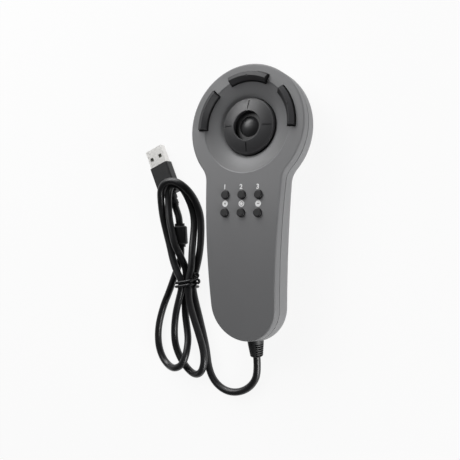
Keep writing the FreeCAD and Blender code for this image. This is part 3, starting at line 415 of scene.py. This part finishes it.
@dataclass(frozen=True)
class FlatConductors:
    """White film over a row of flat conductors that run along the ribbon."""

    name: str
    film: Colour
    metal: Colour
    pitch: float = 1.0

    def paint(self) -> bpy.types.Material:
        """Build the material."""
        paint = Paint(self.name)
        lanes = (paint.axis(0) * (2 * math.pi / (self.pitch * MM))).wave().between(-0.1, 0.3)
        haze = paint.noise(3.0, 2.0, 0.5)
        paint.set(
            Base_Color=paint.blend(lanes * (0.55 + 0.2 * haze), self.film, self.metal),
            Roughness=0.35 + 0.1 * haze,
            Normal=paint.bump(lanes, 0.04),
        )
        return paint.material


@dataclass(frozen=True)
class PrintedInk:
    """A thin coat of screen-printed ink, a little uneven and worn thin in specks."""

    name: str
    colour: Colour
    under: Colour

    def paint(self) -> bpy.types.Material:
        """Build the material."""
        paint = Paint(self.name)
        coat = paint.noise(0.5, 3.0, 0.7)
        worn = coat.between(0.66, 0.80) * 0.35
        paint.set(
            Base_Color=paint.blend(worn, self.colour, self.under),
            Roughness=0.48 + 0.12 * coat,
            Normal=paint.bump(coat, 0.006),
        )
        return paint.material


# Colours of the finishes in linear light, and the middle of the disc in millimetres
GREY_FRONT: Colour = (0.172, 0.173, 0.177)
GREY_BACK: Colour = (0.215, 0.216, 0.220)
NEAR_BLACK: Colour = (0.036, 0.036, 0.038)
CABLE_BLACK: Colour = (0.013, 0.013, 0.014)
INK_WHITE: Colour = (0.84, 0.84, 0.84)
DISC_CENTRE: Point = (0.0, 43.9, 19.0)


def finishes() -> dict[str, bpy.types.Material]:
    """Build every finish once.

    Returns:
        Each material by the plain name of what it is used for.
    """
    made = {
        # The front finish carries painted shade inside its bowl
        "front": DishedPlastic("satin_grey_front", GREY_FRONT, 0.44, 0.26, 0.010, 0.045),
        "back": MouldedPlastic("satin_grey_back", GREY_BACK, 0.46, 0.28, 0.012, 0.045),
        "disc": MouldedPlastic("satin_black_disc", (0.034, 0.034, 0.036), 0.46, 0.24, 0.006, 0.06,
                               (DISC_CENTRE, 17.0)),
        "nub": MouldedPlastic("satin_black_nub", (0.040, 0.040, 0.042), 0.34, 0.22, 0.005, 0.06),
        # The arc keys' finish carries painted shade on their steep sides
        "arc": FacetedPlastic("satin_black_arc_keys", (0.034, 0.034, 0.036), 0.50, 0.22, 0.006, 0.06, None, 0.30),
        "key": MouldedPlastic("satin_black_round_keys", (0.014, 0.014, 0.015), 0.40, 0.20, 0.006, 0.06, None, 0.38),
        "collar": MouldedPlastic("black_collar", (0.020, 0.020, 0.021), 0.38, 0.20, 0.004, 0.05),
        "bushing": MouldedPlastic("black_acetal_ring", (0.022, 0.022, 0.023), 0.30, 0.20, 0.003, 0.05),
        "mat": Translucent("grey_silicone_mat", (0.50, 0.50, 0.48), 0.48, 1.5),
        "nylon": Translucent("natural_nylon_socket", (0.72, 0.70, 0.62), 0.40, 0.8),
        "board": Laminate("green_circuit_board", (0.012, 0.10, 0.035), (0.80, 0.62, 0.36)),
        "chip": MouldedPlastic("black_chip_package", (0.022, 0.022, 0.023), 0.55, 0.12, 0.006, 0.10),
        "can": SheetMetal("tinned_component_can", (0.62, 0.60, 0.56), 0.30, (1.0, 1.0, 1.0)),
        "screw": SheetMetal("zinc_plated_screw", (0.55, 0.55, 0.53), 0.30, (1.0, 1.0, 0.2)),
        "ribbon": FlatConductors("flat_ribbon_film", (0.72, 0.72, 0.70), (0.50, 0.48, 0.44)),
        "cable": SoftRubber("black_cable_jacket", CABLE_BLACK, 0.27, 0.30, 0.30),
        "boot": SoftRubber("black_moulded_boot", (0.014, 0.014, 0.015), 0.44, 0.25, 0.25),
        "ferrite": MouldedPlastic("black_ferrite_sleeve", (0.013, 0.013, 0.014), 0.42, 0.25, 0.008, 0.08),
        "grip": MouldedPlastic("charcoal_plug_grip", (0.017, 0.017, 0.018), 0.46, 0.22, 0.010, 0.06),
        "shell": SheetMetal("nickel_plug_shell", (0.84, 0.83, 0.81), 0.40, (6.0, 0.6, 1.0)),
        "tongue": MouldedPlastic("dark_plug_tongue", (0.050, 0.052, 0.036), 0.40, 0.2, 0.005, 0.06),
        "contact": SheetMetal("gold_contacts", (0.83, 0.61, 0.26), 0.20, (4.0, 0.5, 1.0)),
        "tie": SoftRubber("black_tie_wire", (0.010, 0.010, 0.011), 0.24, 0.15, 0.4),
        "ink": PrintedInk("white_screen_ink", INK_WHITE, GREY_FRONT),
        "ink_grey": PrintedInk("grey_screen_ink", (0.24, 0.24, 0.245), INK_WHITE),
    }
    return {name: finish.paint() for name, finish in made.items()}


class Dressed(Enum):
    """Which finish each solid of the frame wears."""

    FRONT = ("front", ("front_shell",))
    BACK = ("back", ("back_shell",))
    DISC = ("disc", ("direction_disc",))
    NUB = ("nub", ("centre_button",))
    ARCS = ("arc", ("arc_button_left", "arc_button_top", "arc_button_right"))
    KEYS = ("key", tuple(f"round_button_{number}" for number in range(1, 7)))
    COLLAR = ("collar", ("pivot_collar",))
    BUSHING = ("bushing", ("pivot_bushing",))
    MATS = ("mat", ("head_mat", "keypad_mat"))
    BOARDS = ("board", ("head_board", "keypad_board"))
    SCREWS = ("screw", ("housing_screws", "board_screws"))
    CHIP = ("chip", ("controller_chip",))
    SMALL = ("can", ("board_components",))
    SOCKETS = ("nylon", ("ribbon_sockets", "cable_header", "header_plug"))
    RIBBON = ("ribbon", ("ribbon_cable",))
    LEADS = ("cable", ("inner_cable", "cable_lead", "cable_hank", "cable_tail"))
    BOOTS = ("boot", ("strain_relief", "plug_relief"))
    FERRITE = ("ferrite", ("ferrite_bead",))
    GRIP = ("grip", ("plug_body",))
    SHELL = ("shell", ("plug_shell",))
    TONGUE = ("tongue", ("plug_tongue",))
    CONTACTS = ("contact", ("plug_contacts",))
    TIE = ("tie", ("cable_tie",))


def dress_solids(materials: dict[str, bpy.types.Material]) -> None:
    """Give every solid of the frame its own finish."""
    for choice in Dressed:
        finish, nodes = choice.value
        for name in nodes:
            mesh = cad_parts[name].data
            mesh.materials.clear()
            mesh.materials.append(materials[finish])
        LOG.info("dressed %s with %s", ", ".join(nodes), finish)


# Work in edit mode, as by hand

class Bench:
    """The few ways in which new pieces are shaped."""

    @staticmethod
    def clear() -> None:
        """Leave edit mode and deselect everything."""
        if bpy.context.object and bpy.context.object.mode != "OBJECT":
            bpy.ops.object.mode_set(mode="OBJECT")
        bpy.ops.object.select_all(action="DESELECT")

    @staticmethod
    def pick(piece: bpy.types.Object, wanted: Callable[[bpy.types.MeshPolygon], bool]) -> None:
        """Select the faces of a piece that meet a condition, and go to edit mode in face mode."""
        bpy.ops.object.mode_set(mode="EDIT")
        bpy.ops.mesh.select_mode(type="FACE")
        bpy.ops.mesh.select_all(action="DESELECT")
        bpy.ops.object.mode_set(mode="OBJECT")
        for face in piece.data.polygons:
            face.select = bool(wanted(face))
        bpy.ops.object.mode_set(mode="EDIT")

    @staticmethod
    def stack(name: str, rings: Sequence[tuple[float, float]], sides: int) -> bpy.types.Object:
        """A round body made by pulling one disc up ring by ring.

        Args:
            name: the piece's name.
            rings: radius and height of each ring in millimetres, from the lowest.
            sides: number of sides.

        Returns:
            The piece, standing on the origin.
        """
        Bench.clear()
        radius, height = rings[0]
        bpy.ops.mesh.primitive_circle_add(vertices=sides, radius=radius * MM, fill_type="NGON",
                                          location=(0, 0, height * MM))
        piece = bpy.context.object
        piece.name = name
        bpy.ops.object.transform_apply(location=True)
        bpy.ops.object.mode_set(mode="EDIT")
        bpy.ops.mesh.select_mode(type="FACE")
        bpy.ops.mesh.select_all(action="SELECT")
        for next_radius, next_height in rings[1:]:
            rise = (0, 0, (next_height - height) * MM)
            bpy.ops.mesh.extrude_region_move(TRANSFORM_OT_translate={"value": rise})
            grow = next_radius / radius
            bpy.ops.transform.resize(value=(grow, grow, 1), center_override=(0, 0, next_height * MM))
            radius, height = next_radius, next_height
        bpy.ops.mesh.select_all(action="SELECT")
        bpy.ops.mesh.normals_make_consistent(inside=False)
        bpy.ops.object.mode_set(mode="OBJECT")
        return piece

    @staticmethod
    def settle(piece: bpy.types.Object, place: Matrix) -> None:
        """Move a finished piece to its place and leave that place in its mesh."""
        Bench.clear()
        piece.select_set(True)
        bpy.context.view_layer.objects.active = piece
        piece.matrix_world = place @ piece.matrix_world
        bpy.ops.object.transform_apply(location=True, rotation=True, scale=True)
        piece.select_set(False)

    @staticmethod
    def smooth(piece: bpy.types.Object, degrees: float = 35.0) -> None:
        """Shade a piece smooth, except over edges sharper than an angle."""
        Bench.clear()
        piece.select_set(True)
        bpy.context.view_layer.objects.active = piece
        bpy.ops.object.shade_smooth_by_angle(angle=math.radians(degrees))
        piece.select_set(False)

    @staticmethod
    def finish(piece: bpy.types.Object, material: bpy.types.Material, slot: str, body: str = "case") -> None:
        """Dress a new piece and let it ride on its body."""
        piece.data.materials.clear()
        piece.data.materials.append(material)
        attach(piece, body)
        LOG.info("made %s", piece.name)


def pad_placement() -> Matrix:
    """Move from the pad's own frame, flat on its drawing, to where it lies tilted on the table."""
    tilt = Matrix.Rotation(math.radians(PAD_TILT_DEG), 4, "X")
    return Matrix.Translation(Vector(PAD_PLACE) * MM) @ tilt


@dataclass
class PrintedMarks:
    """Numerals over the upper keys, and white discs with plain signs between the two rows of keys."""

    columns: tuple[float, ...] = (-10.6, 0.0, 10.6)
    numeral_y: float = -35.5
    numeral_shift: float = -0.8
    numeral_height: float = 2.7
    numeral_bold: float = 0.11
    capital_share: float = 0.7
    disc_y: float = -45.0
    disc_radius: float = 1.8
    ink: float = 0.03
    arch_start_y: float = -36.8
    arch_radius: float = 277.0

    def drop(self, y: float) -> float:
        """How far the arched face lies below its flat part, in millimetres."""
        run = max(0.0, self.arch_start_y - y)
        return self.arch_radius - math.sqrt(self.arch_radius ** 2 - run ** 2)

    def lay(self, piece: bpy.types.Object, x: float, y: float, lift: float = 0.0) -> None:
        """Lay a flat mark on the face, turned to its slope."""
        run = max(0.0, self.arch_start_y - y)
        slope = Matrix.Rotation(math.asin(run / self.arch_radius), 4, "X")
        spot = Matrix.Translation(Vector((x, y, lift - self.drop(y))) * MM)
        Bench.settle(piece, pad_placement() @ spot @ slope)

    def numeral(self, text: str, x: float, material: bpy.types.Material) -> None:
        """One raised numeral of ink."""
        Bench.clear()
        bpy.ops.object.text_add(location=(0, 0, 0))
        word = bpy.context.object
        word.name = f"numeral_{text}"
        word.data.body = text
        word.data.size = self.numeral_height * MM / self.capital_share
        word.data.align_x = "CENTER"
        word.data.align_y = "CENTER"
        word.data.offset = self.numeral_bold * MM
        word.data.extrude = self.ink * MM / 2
        word.data.resolution_u = 6
        bpy.ops.object.convert(target="MESH")
        self.lay(word, x + self.numeral_shift, self.numeral_y, self.ink / 2)
        Bench.finish(word, material, "marking")

    def disc(self, number: int, x: float, material: bpy.types.Material) -> None:
        """One white disc, with its rim drawn in a little."""
        rings = ((self.disc_radius, -self.ink), (self.disc_radius, self.ink * 0.6),
                 (self.disc_radius - 0.05, self.ink), (self.disc_radius * 0.5, self.ink * 1.05))
        piece = Bench.stack(f"white_disc_{number}", rings, 48)
        self.lay(piece, x, self.disc_y)
        Bench.finish(piece, material, "marking")

    def sign(self, number: int, x: float, material: bpy.types.Material) -> None:
        """One plain sign on a disc: a small cross, a ring or a bar."""
        Bench.clear()
        if number == 2:
            bpy.ops.mesh.primitive_torus_add(major_radius=1.05 * MM, minor_radius=0.16 * MM, major_segments=40,
                                             minor_segments=8)
            piece = bpy.context.object
            bpy.ops.transform.resize(value=(1, 1, 0.25))
            bpy.ops.object.transform_apply(scale=True)
        else:
            wide = 1.5 if number == 3 else 1.1
            bpy.ops.mesh.primitive_grid_add(x_subdivisions=3, y_subdivisions=3, size=1.0)
            piece = bpy.context.object
            bpy.ops.transform.resize(value=(wide * MM, (0.42 if number == 3 else wide) * MM, 1))
            bpy.ops.object.transform_apply(scale=True)
            if number == 1:
                edge = wide * MM / 6
                Bench.pick(piece, lambda face: abs(face.center.x) > edge and abs(face.center.y) > edge)
                bpy.ops.mesh.delete(type="FACE")
                bpy.ops.object.mode_set(mode="OBJECT")
            bpy.ops.object.mode_set(mode="EDIT")
            bpy.ops.mesh.select_all(action="SELECT")
            bpy.ops.mesh.extrude_region_move(TRANSFORM_OT_translate={"value": (0, 0, self.ink * MM)})
            bpy.ops.mesh.select_all(action="SELECT")
            bpy.ops.mesh.normals_make_consistent(inside=False)
            bpy.ops.object.mode_set(mode="OBJECT")
        piece.name = f"disc_sign_{number}"
        self.lay(piece, x, self.disc_y, self.ink * 0.95)
        Bench.finish(piece, material, "marking")

    def build(self, materials: dict[str, bpy.types.Material]) -> None:
        """Print every mark."""
        for number, x in enumerate(self.columns, start=1):
            self.numeral(str(number), x, materials["ink"])
            self.disc(number, x, materials["ink"])
            self.sign(number, x, materials["ink_grey"])


@dataclass
class Boot:
    """Tapered boot at the cable's exit, with slots on its sides between two solid webs."""

    exit: Point = (0.0, -80.0292, 7.3373)
    slope_deg: float = 10.355993
    root_radius: float = 4.75
    tip_radius: float = 3.75
    root_length: float = 0.9
    length: float = 8.9
    slots: int = 6
    slot_depth: float = 1.5
    slot_share: float = 0.5
    land: float = 0.08
    inside: float = 4.0
    tip_round: float = 0.3
    bore_radius: float = 2.3
    sides: int = 64
    webs_deg: tuple[tuple[float, float], ...] = ((88.0, 158.0), (250.0, 290.0))

    def placement(self) -> Matrix:
        """Move from the boot's own frame, which points up, to its hole in the handle."""
        turn = Matrix.Rotation(math.radians(90.0 + self.slope_deg), 4, "X")
        return Matrix.Translation(Vector(self.exit) * MM) @ turn

    def slot_spans(self) -> list[tuple[float, float]]:
        """Where each slot starts and ends along the boot."""
        pitch = (self.length - self.root_length) / self.slots
        starts = [self.root_length + slot * pitch + self.land for slot in range(self.slots)]
        return [(start, start + self.slot_share * pitch) for start in starts]

    def rings(self) -> list[tuple[float, float]]:
        """Radius and height of each ring, from the hole in the shell to the tip."""
        pitch = (self.length - self.root_length) / self.slots
        found = [(self.root_radius, -self.inside), (self.root_radius, self.root_length)]
        for start, end in self.slot_spans():
            for height in (start, end, start - self.land + pitch):
                share = (height - self.root_length) / (self.length - self.root_length)
                radius = self.root_radius + (self.tip_radius - self.root_radius) * share
                found.append((radius, min(height, self.length - self.tip_round - 0.05)))
        found.append((self.tip_radius - self.tip_round, self.length))
        found.append((self.bore_radius, self.length))
        return found

    def build(self, materials: dict[str, bpy.types.Material]) -> bpy.types.Object:
        """Make the boot.

        Returns:
            The piece, which goes with the cable.
        """
        piece = Bench.stack("ribbed_boot", self.rings(), self.sides)

        def in_slot(face: bpy.types.MeshPolygon) -> bool:
            """Whether a face of the side lies in a slot."""
            height = face.center.z / MM
            angle = math.degrees(math.atan2(-face.center.y, face.center.x)) % 360
            side = abs(face.normal.z) < 0.5
            open_side = not any(first < angle < last for first, last in self.webs_deg)
            return side and open_side and any(start < height < end for start, end in self.slot_spans())

        Bench.pick(piece, in_slot)
        bpy.ops.mesh.extrude_region_shrink_fatten(TRANSFORM_OT_shrink_fatten={"value": -self.slot_depth * MM})
        bpy.ops.object.mode_set(mode="OBJECT")
        Bench.settle(piece, self.placement())
        Bench.smooth(piece, 30.0)
        Bench.finish(piece, materials["boot"], "boot")
        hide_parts("strain_relief")
        return piece


@dataclass
class Tie:
    """Coated wire wound twice round the four strands, with both ends curled into eyes."""

    wire_radius: float = 0.8
    gap: float = 0.12
    strand_radius: float = 2.2
    columns: tuple[float, float] = (-51.0, -46.0)
    rows: tuple[float, float] = (3.65, 8.55)
    start_y: float = -46.5
    pitch: float = 2.3
    lean: float = 0.12
    eyes: tuple[Point, Point] = ((-41.9, -43.3, 6.4), (-41.2, -46.9, 6.2))
    eye_radius: float = 1.15
    eye_points: int = 10
    eye_rise: float = 0.035
    facing: Point = (0.49, 0.0, 0.87)
    corner: float = 0.93
    spread: float = 1.02
    tuck: float = 1.2

    def eye(self, middle: Point, towards: Vector, way: float) -> list[Vector]:
        """Points of one curled eye, from the side that the wire comes in at, almost all the way round."""
        facing = Vector(self.facing).normalized()
        first = (towards - Vector(middle)).normalized()
        first = (first - facing * first.dot(facing)).normalized()
        second = facing.cross(first)
        reach = self.eye_radius * 1.08
        points = []
        for step in range(self.eye_points):
            angle = 2 * math.pi * step / self.eye_points * way
            points.append(Vector(middle) + (first * math.cos(angle) + second * math.sin(angle)) * reach
                          + facing * self.eye_rise * step)
        return points

    def wraps(self) -> list[Vector]:
        """Points of the two wraps, which climb along the bundle as they go round."""
        reach = self.strand_radius + self.gap + self.wire_radius
        (left, right), (low, high) = self.columns, self.rows
        bend = reach * self.spread
        cut = bend * self.corner
        floor = max(low - bend, self.wire_radius + 0.03)
        ring = [(right + bend, high - self.tuck), (right + cut, high + cut), (right - 1.0, high + bend),
                (left + 1.0, high + bend), (left - cut, high + cut), (left - bend, high - self.tuck),
                (left - bend, low + self.tuck), (left - cut, floor + 0.2), (left + 1.0, floor),
                (right - 1.0, floor), (right + cut, floor + 0.2), (right + bend, low + self.tuck)]
        points = []
        for turn in range(2):
            for step, (x, z) in enumerate(ring):
                y = self.start_y - self.pitch * (turn + step / len(ring)) + self.lean * (x - right)
                points.append(Vector((x, y, z)))
        x, z = ring[0]
        points.append(Vector((x, self.start_y - 2 * self.pitch + self.lean * (x - right), z)))
        return points

    def build(self, materials: dict[str, bpy.types.Material]) -> bpy.types.Object:
        """Wind the wire.

        Returns:
            The piece, which goes with the cable.
        """
        wraps = self.wraps()
        first = self.eye(self.eyes[0], wraps[0], 1.0)
        last = self.eye(self.eyes[1], wraps[-1], -1.0)
        points = list(reversed(first)) + wraps + last
        piece = cord_curve("tie_wire", [tuple(point * MM) for point in points], self.wire_radius, 5, 6)
        Bench.finish(piece, materials["tie"], "tie_wire")
        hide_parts("cable_tie")
        return piece


def cord_curve(name: str, points: Iterable[Point], radius: float, rounds: int, steps: int) -> bpy.types.Object:
    """A round wire or cord along a smooth line.

    Args:
        name: the piece's name.
        points: control points of the line, in metres.
        radius: radius of the section, in millimetres.
        rounds: resolution round the section.
        steps: resolution between two points.

    Returns:
        The curve.
    """
    line = bpy.data.curves.new(name, "CURVE")
    line.dimensions = "3D"
    line.resolution_u = steps
    line.render_resolution_u = steps
    line.bevel_depth = radius * MM
    line.bevel_resolution = rounds
    line.use_fill_caps = True
    points = list(points)
    spline = line.splines.new("NURBS")
    spline.points.add(len(points) - 1)
    for point, place in zip(spline.points, points):
        point.co = (*place, 1.0)
    spline.order_u = 3
    spline.use_endpoint_u = True
    piece = bpy.data.objects.new(name, line)
    bpy.context.scene.collection.objects.link(piece)
    return piece


@dataclass
class Cable:
    """The whole cable in one piece, from the boot through its tied hank and the ferrite to the plug."""

    diameter: float = 4.4
    length: float = 0.69
    exit: Point = (0.0, -0.088489, 0.005791)
    lead: tuple[Point, ...] = (
        (0.0, -0.088489, 0.005791), (0.0, -0.098621, 0.003940), (-0.0037, -0.1061, 0.0025),
        (-0.0103, -0.1112, 0.0022), (-0.0185, -0.1130, 0.0022), (-0.0259, -0.1111, 0.0022),
        (-0.0317, -0.1062, 0.0022), (-0.0348, -0.0993, 0.0022),
    )
    outer_top: tuple[Point, ...] = (
        (-0.0359, -0.0929, 0.0022), (-0.0371, -0.0860, 0.0022), (-0.0412, -0.0715, 0.0022),
        (-0.0448, -0.0590, 0.0027), (-0.0460, -0.0515, 0.00365), (-0.0460, -0.0465, 0.00365),
        (-0.0436, -0.0385, 0.0030), (-0.0419, -0.0285, 0.0023), (-0.0412, -0.0180, 0.0022),
        (-0.0414, -0.0070, 0.0025), (-0.0430, 0.0010, 0.0052), (-0.0449, 0.0074, 0.0098),
        (-0.0486, 0.0121, 0.0134), (-0.0540, 0.0144, 0.0143), (-0.0599, 0.0137, 0.0142),
        (-0.0644, 0.0096, 0.0130), (-0.0656, 0.0016, 0.0106), (-0.0649, -0.0081, 0.0092),
        (-0.0628, -0.0170, 0.0083), (-0.0603, -0.0255, 0.0080), (-0.0580, -0.0335, 0.0083),
        (-0.0545, -0.0412, 0.0089), (-0.0510, -0.0468, 0.00855),
    )
    right_bottom: tuple[Point, ...] = (
        (-0.0510, -0.0520, 0.00855), (-0.0534, -0.0590, 0.0079), (-0.0572, -0.0670, 0.0052),
        (-0.0599, -0.0770, 0.0027), (-0.0597, -0.0865, 0.0022), (-0.0560, -0.0948, 0.0022),
        (-0.0503, -0.1015, 0.0023), (-0.0436, -0.1046, 0.0039), (-0.0376, -0.1024, 0.0065),
        (-0.0349, -0.0963, 0.0074), (-0.0356, -0.0885, 0.0072), (-0.0394, -0.0780, 0.0072),
        (-0.0432, -0.0683, 0.0073), (-0.0458, -0.0590, 0.0082), (-0.0460, -0.0520, 0.00855),
    )
    inner_top: tuple[Point, ...] = (
        (-0.0460, -0.0465, 0.00855), (-0.0443, -0.0380, 0.0080), (-0.0452, -0.0285, 0.0063),
        (-0.0459, -0.0195, 0.0037), (-0.0460, -0.0105, 0.0024), (-0.0472, -0.0025, 0.0032),
        (-0.0490, 0.0048, 0.0060), (-0.0513, 0.0103, 0.0086), (-0.0547, 0.0127, 0.0097),
        (-0.0585, 0.0121, 0.0099), (-0.0606, 0.0076, 0.0099), (-0.0604, -0.0008, 0.0099),
        (-0.0589, -0.0089, 0.0111), (-0.0564, -0.0169, 0.0118), (-0.0540, -0.0255, 0.0118),
        (-0.0517, -0.0325, 0.0084), (-0.0502, -0.0395, 0.0048), (-0.0510, -0.0465, 0.00365),
    )
    left_bottom: tuple[Point, ...] = (
        (-0.0510, -0.0520, 0.00365), (-0.0522, -0.0595, 0.0027), (-0.0523, -0.0675, 0.0022),
        (-0.0508, -0.0760, 0.0022), (-0.0487, -0.0835, 0.0038), (-0.0479, -0.0915, 0.0072),
        (-0.0503, -0.0983, 0.0077), (-0.0563, -0.1016, 0.0068), (-0.0632, -0.1009, 0.0034),
        (-0.0690, -0.0963, 0.0022), (-0.0723, -0.0880, 0.0022), (-0.0724, -0.0770, 0.0022),
        (-0.0690, -0.0645, 0.0022), (-0.0639, -0.0535, 0.0022), (-0.0602, -0.0440, 0.0022),
        (-0.0572, -0.0370, 0.0023), (-0.0550, -0.0326, 0.0037), (-0.05431, -0.0288, 0.0045),
    )
    tail: tuple[Point, ...] = (
        (-0.0545, -0.0263, 0.0045), (-0.05578, -0.0096, 0.0045), (-0.0575, -0.0058, 0.0035),
        (-0.059715, -0.000744, 0.0035),
    )

    def build(self, materials: dict[str, bpy.types.Material]) -> bpy.types.Object:
        """Lay the cable along its route."""
        route = self.lead + self.outer_top + self.right_bottom + self.inner_top + self.left_bottom + self.tail
        piece = cord_curve("cable", route, self.diameter / 2, 6, 8)
        Bench.finish(piece, materials["cable"], "cable")
        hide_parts("cable_lead", "cable_hank", "cable_tail")
        return piece


@dataclass(frozen=True)
class Lamp:
    """One area lamp: its name, its place and size in metres, and its power in watts."""

    name: str
    place: Point
    power: float
    size: tuple[float, float] = (0.6, 0.6)

    def hang(self, aim: Point) -> None:
        """Hang the lamp, pointing at a spot."""
        data = bpy.data.lights.new(self.name, "AREA")
        data.shape = "RECTANGLE"
        data.size, data.size_y = self.size
        data.energy = self.power
        lamp = bpy.data.objects.new(self.name, data)
        turn = (Vector(aim) - Vector(self.place)).to_track_quat("-Z", "Y").to_matrix().to_4x4()
        lamp.matrix_world = Matrix.Translation(self.place) @ turn
        bpy.context.scene.collection.objects.link(lamp)


@dataclass
class Studio:
    """Pale floor, soft lamps and the camera at the photograph's place."""

    camera_place: Point = (0.21659184, -0.01484325, 0.42115148)
    camera_axes: tuple[Point, Point, Point] = (
        (0.869894, -0.009788, 0.493141), (0.010666, 0.999943, 0.001032), (-0.493123, 0.004362, 0.869949))
    focal_px: float = 800.0
    image_px: float = 460.0
    sensor: float = 36.0
    floor_size: float = 6.0
    floor_white: float = 0.9
    room_fill: float = 0.04
    aim: Point = (0.0, 0.02, 0.01)
    lamps: tuple[Lamp, ...] = (
        Lamp("key", (-0.653, 0.618, 0.663), 5.1),
        Lamp("back_left", (-0.484, 0.934, 0.386), 4.6),
        Lamp("top", (-0.342, 0.533, 0.921), 1.7),
        Lamp("back_low", (-0.168, 1.084, 0.234), 6.0),
        Lamp("side_low", (0.916, -0.553, 0.216), 11.6),
        Lamp("left_card", (-0.985, 0.02, 0.205), 0.5, (1.2, 0.4)),
    )

    def camera(self) -> None:
        """Set the camera."""
        data = bpy.data.cameras.new("camera")
        data.sensor_width = self.sensor
        data.lens = self.sensor * self.focal_px / self.image_px
        data.clip_start = 0.01
        camera = bpy.data.objects.new("camera", data)
        camera.matrix_world = Matrix.Translation(self.camera_place) @ Matrix(self.camera_axes).to_4x4()
        bpy.context.scene.collection.objects.link(camera)
        bpy.context.scene.camera = camera

    def floor(self) -> None:
        """Lay the floor, which the camera sees nearly white, with the soft shadow of the part."""
        Bench.clear()
        bpy.ops.mesh.primitive_plane_add(size=self.floor_size, location=(0, 0, -0.0002))
        floor = bpy.context.object
        floor.name = "floor"
        bpy.ops.object.transform_apply(location=True)
        paint = Paint("pale_floor")
        paint.set(Base_Color=(0.86, 0.86, 0.86), Roughness=0.9, Specular_IOR_Level=0.2)
        rays = [paint.node("ShaderNodeLightPath", output=f"Is {kind} Ray")
                for kind in ("Camera", "Glossy", "Transmission")]
        share = ((rays[0] + rays[1] + rays[2]) * self.floor_white).at_most(1.0)
        lit = Signal(paint, paint.shader.outputs[0])
        glow = paint.node("ShaderNodeEmission", sockets={"Color": (1.0, 1.0, 1.0), "Strength": 1.0})
        mix = paint.node("ShaderNodeMixShader", sockets={0: share, 1: lit, 2: glow})
        output = next(node for node in paint.tree.nodes if node.type == "OUTPUT_MATERIAL")
        paint.tree.links.new(mix.socket, output.inputs["Surface"])
        floor.data.materials.append(paint.material)

    def world(self) -> None:
        """Light the room evenly, and show white where a ray leaves it."""
        world = bpy.data.worlds.new("room")
        bpy.context.scene.world = world
        world.use_nodes = True
        tree = world.node_tree
        tree.nodes.clear()
        path = tree.nodes.new("ShaderNodeLightPath")
        mix = tree.nodes.new("ShaderNodeMixShader")
        output = tree.nodes.new("ShaderNodeOutputWorld")
        tree.links.new(path.outputs["Is Camera Ray"], mix.inputs[0])
        for socket, strength in ((1, self.room_fill), (2, 1.0)):
            shade_of_white = tree.nodes.new("ShaderNodeBackground")
            shade_of_white.inputs["Color"].default_value = (1.0, 1.0, 1.0, 1.0)
            shade_of_white.inputs["Strength"].default_value = strength
            tree.links.new(shade_of_white.outputs[0], mix.inputs[socket])
        tree.links.new(mix.outputs[0], output.inputs["Surface"])

    def build(self) -> None:
        """Set up the whole studio."""
        self.camera()
        self.floor()
        self.world()
        for lamp in self.lamps:
            lamp.hang(self.aim)
        bpy.context.scene.view_settings.view_transform = "Standard"


def main() -> None:
    """Dress the solids, make the new pieces and set up the studio."""
    logging.basicConfig(level=logging.INFO, format="%(name)s: %(message)s")
    Studio().build()
    materials = finishes()
    cable = Cable()
    cord = cable.build(materials)
    boot = Boot().build(materials)
    tie = Tie().build(materials)
    dress_solids(materials)
    PrintedMarks().build(materials)


if __name__ == "__main__":
    main()
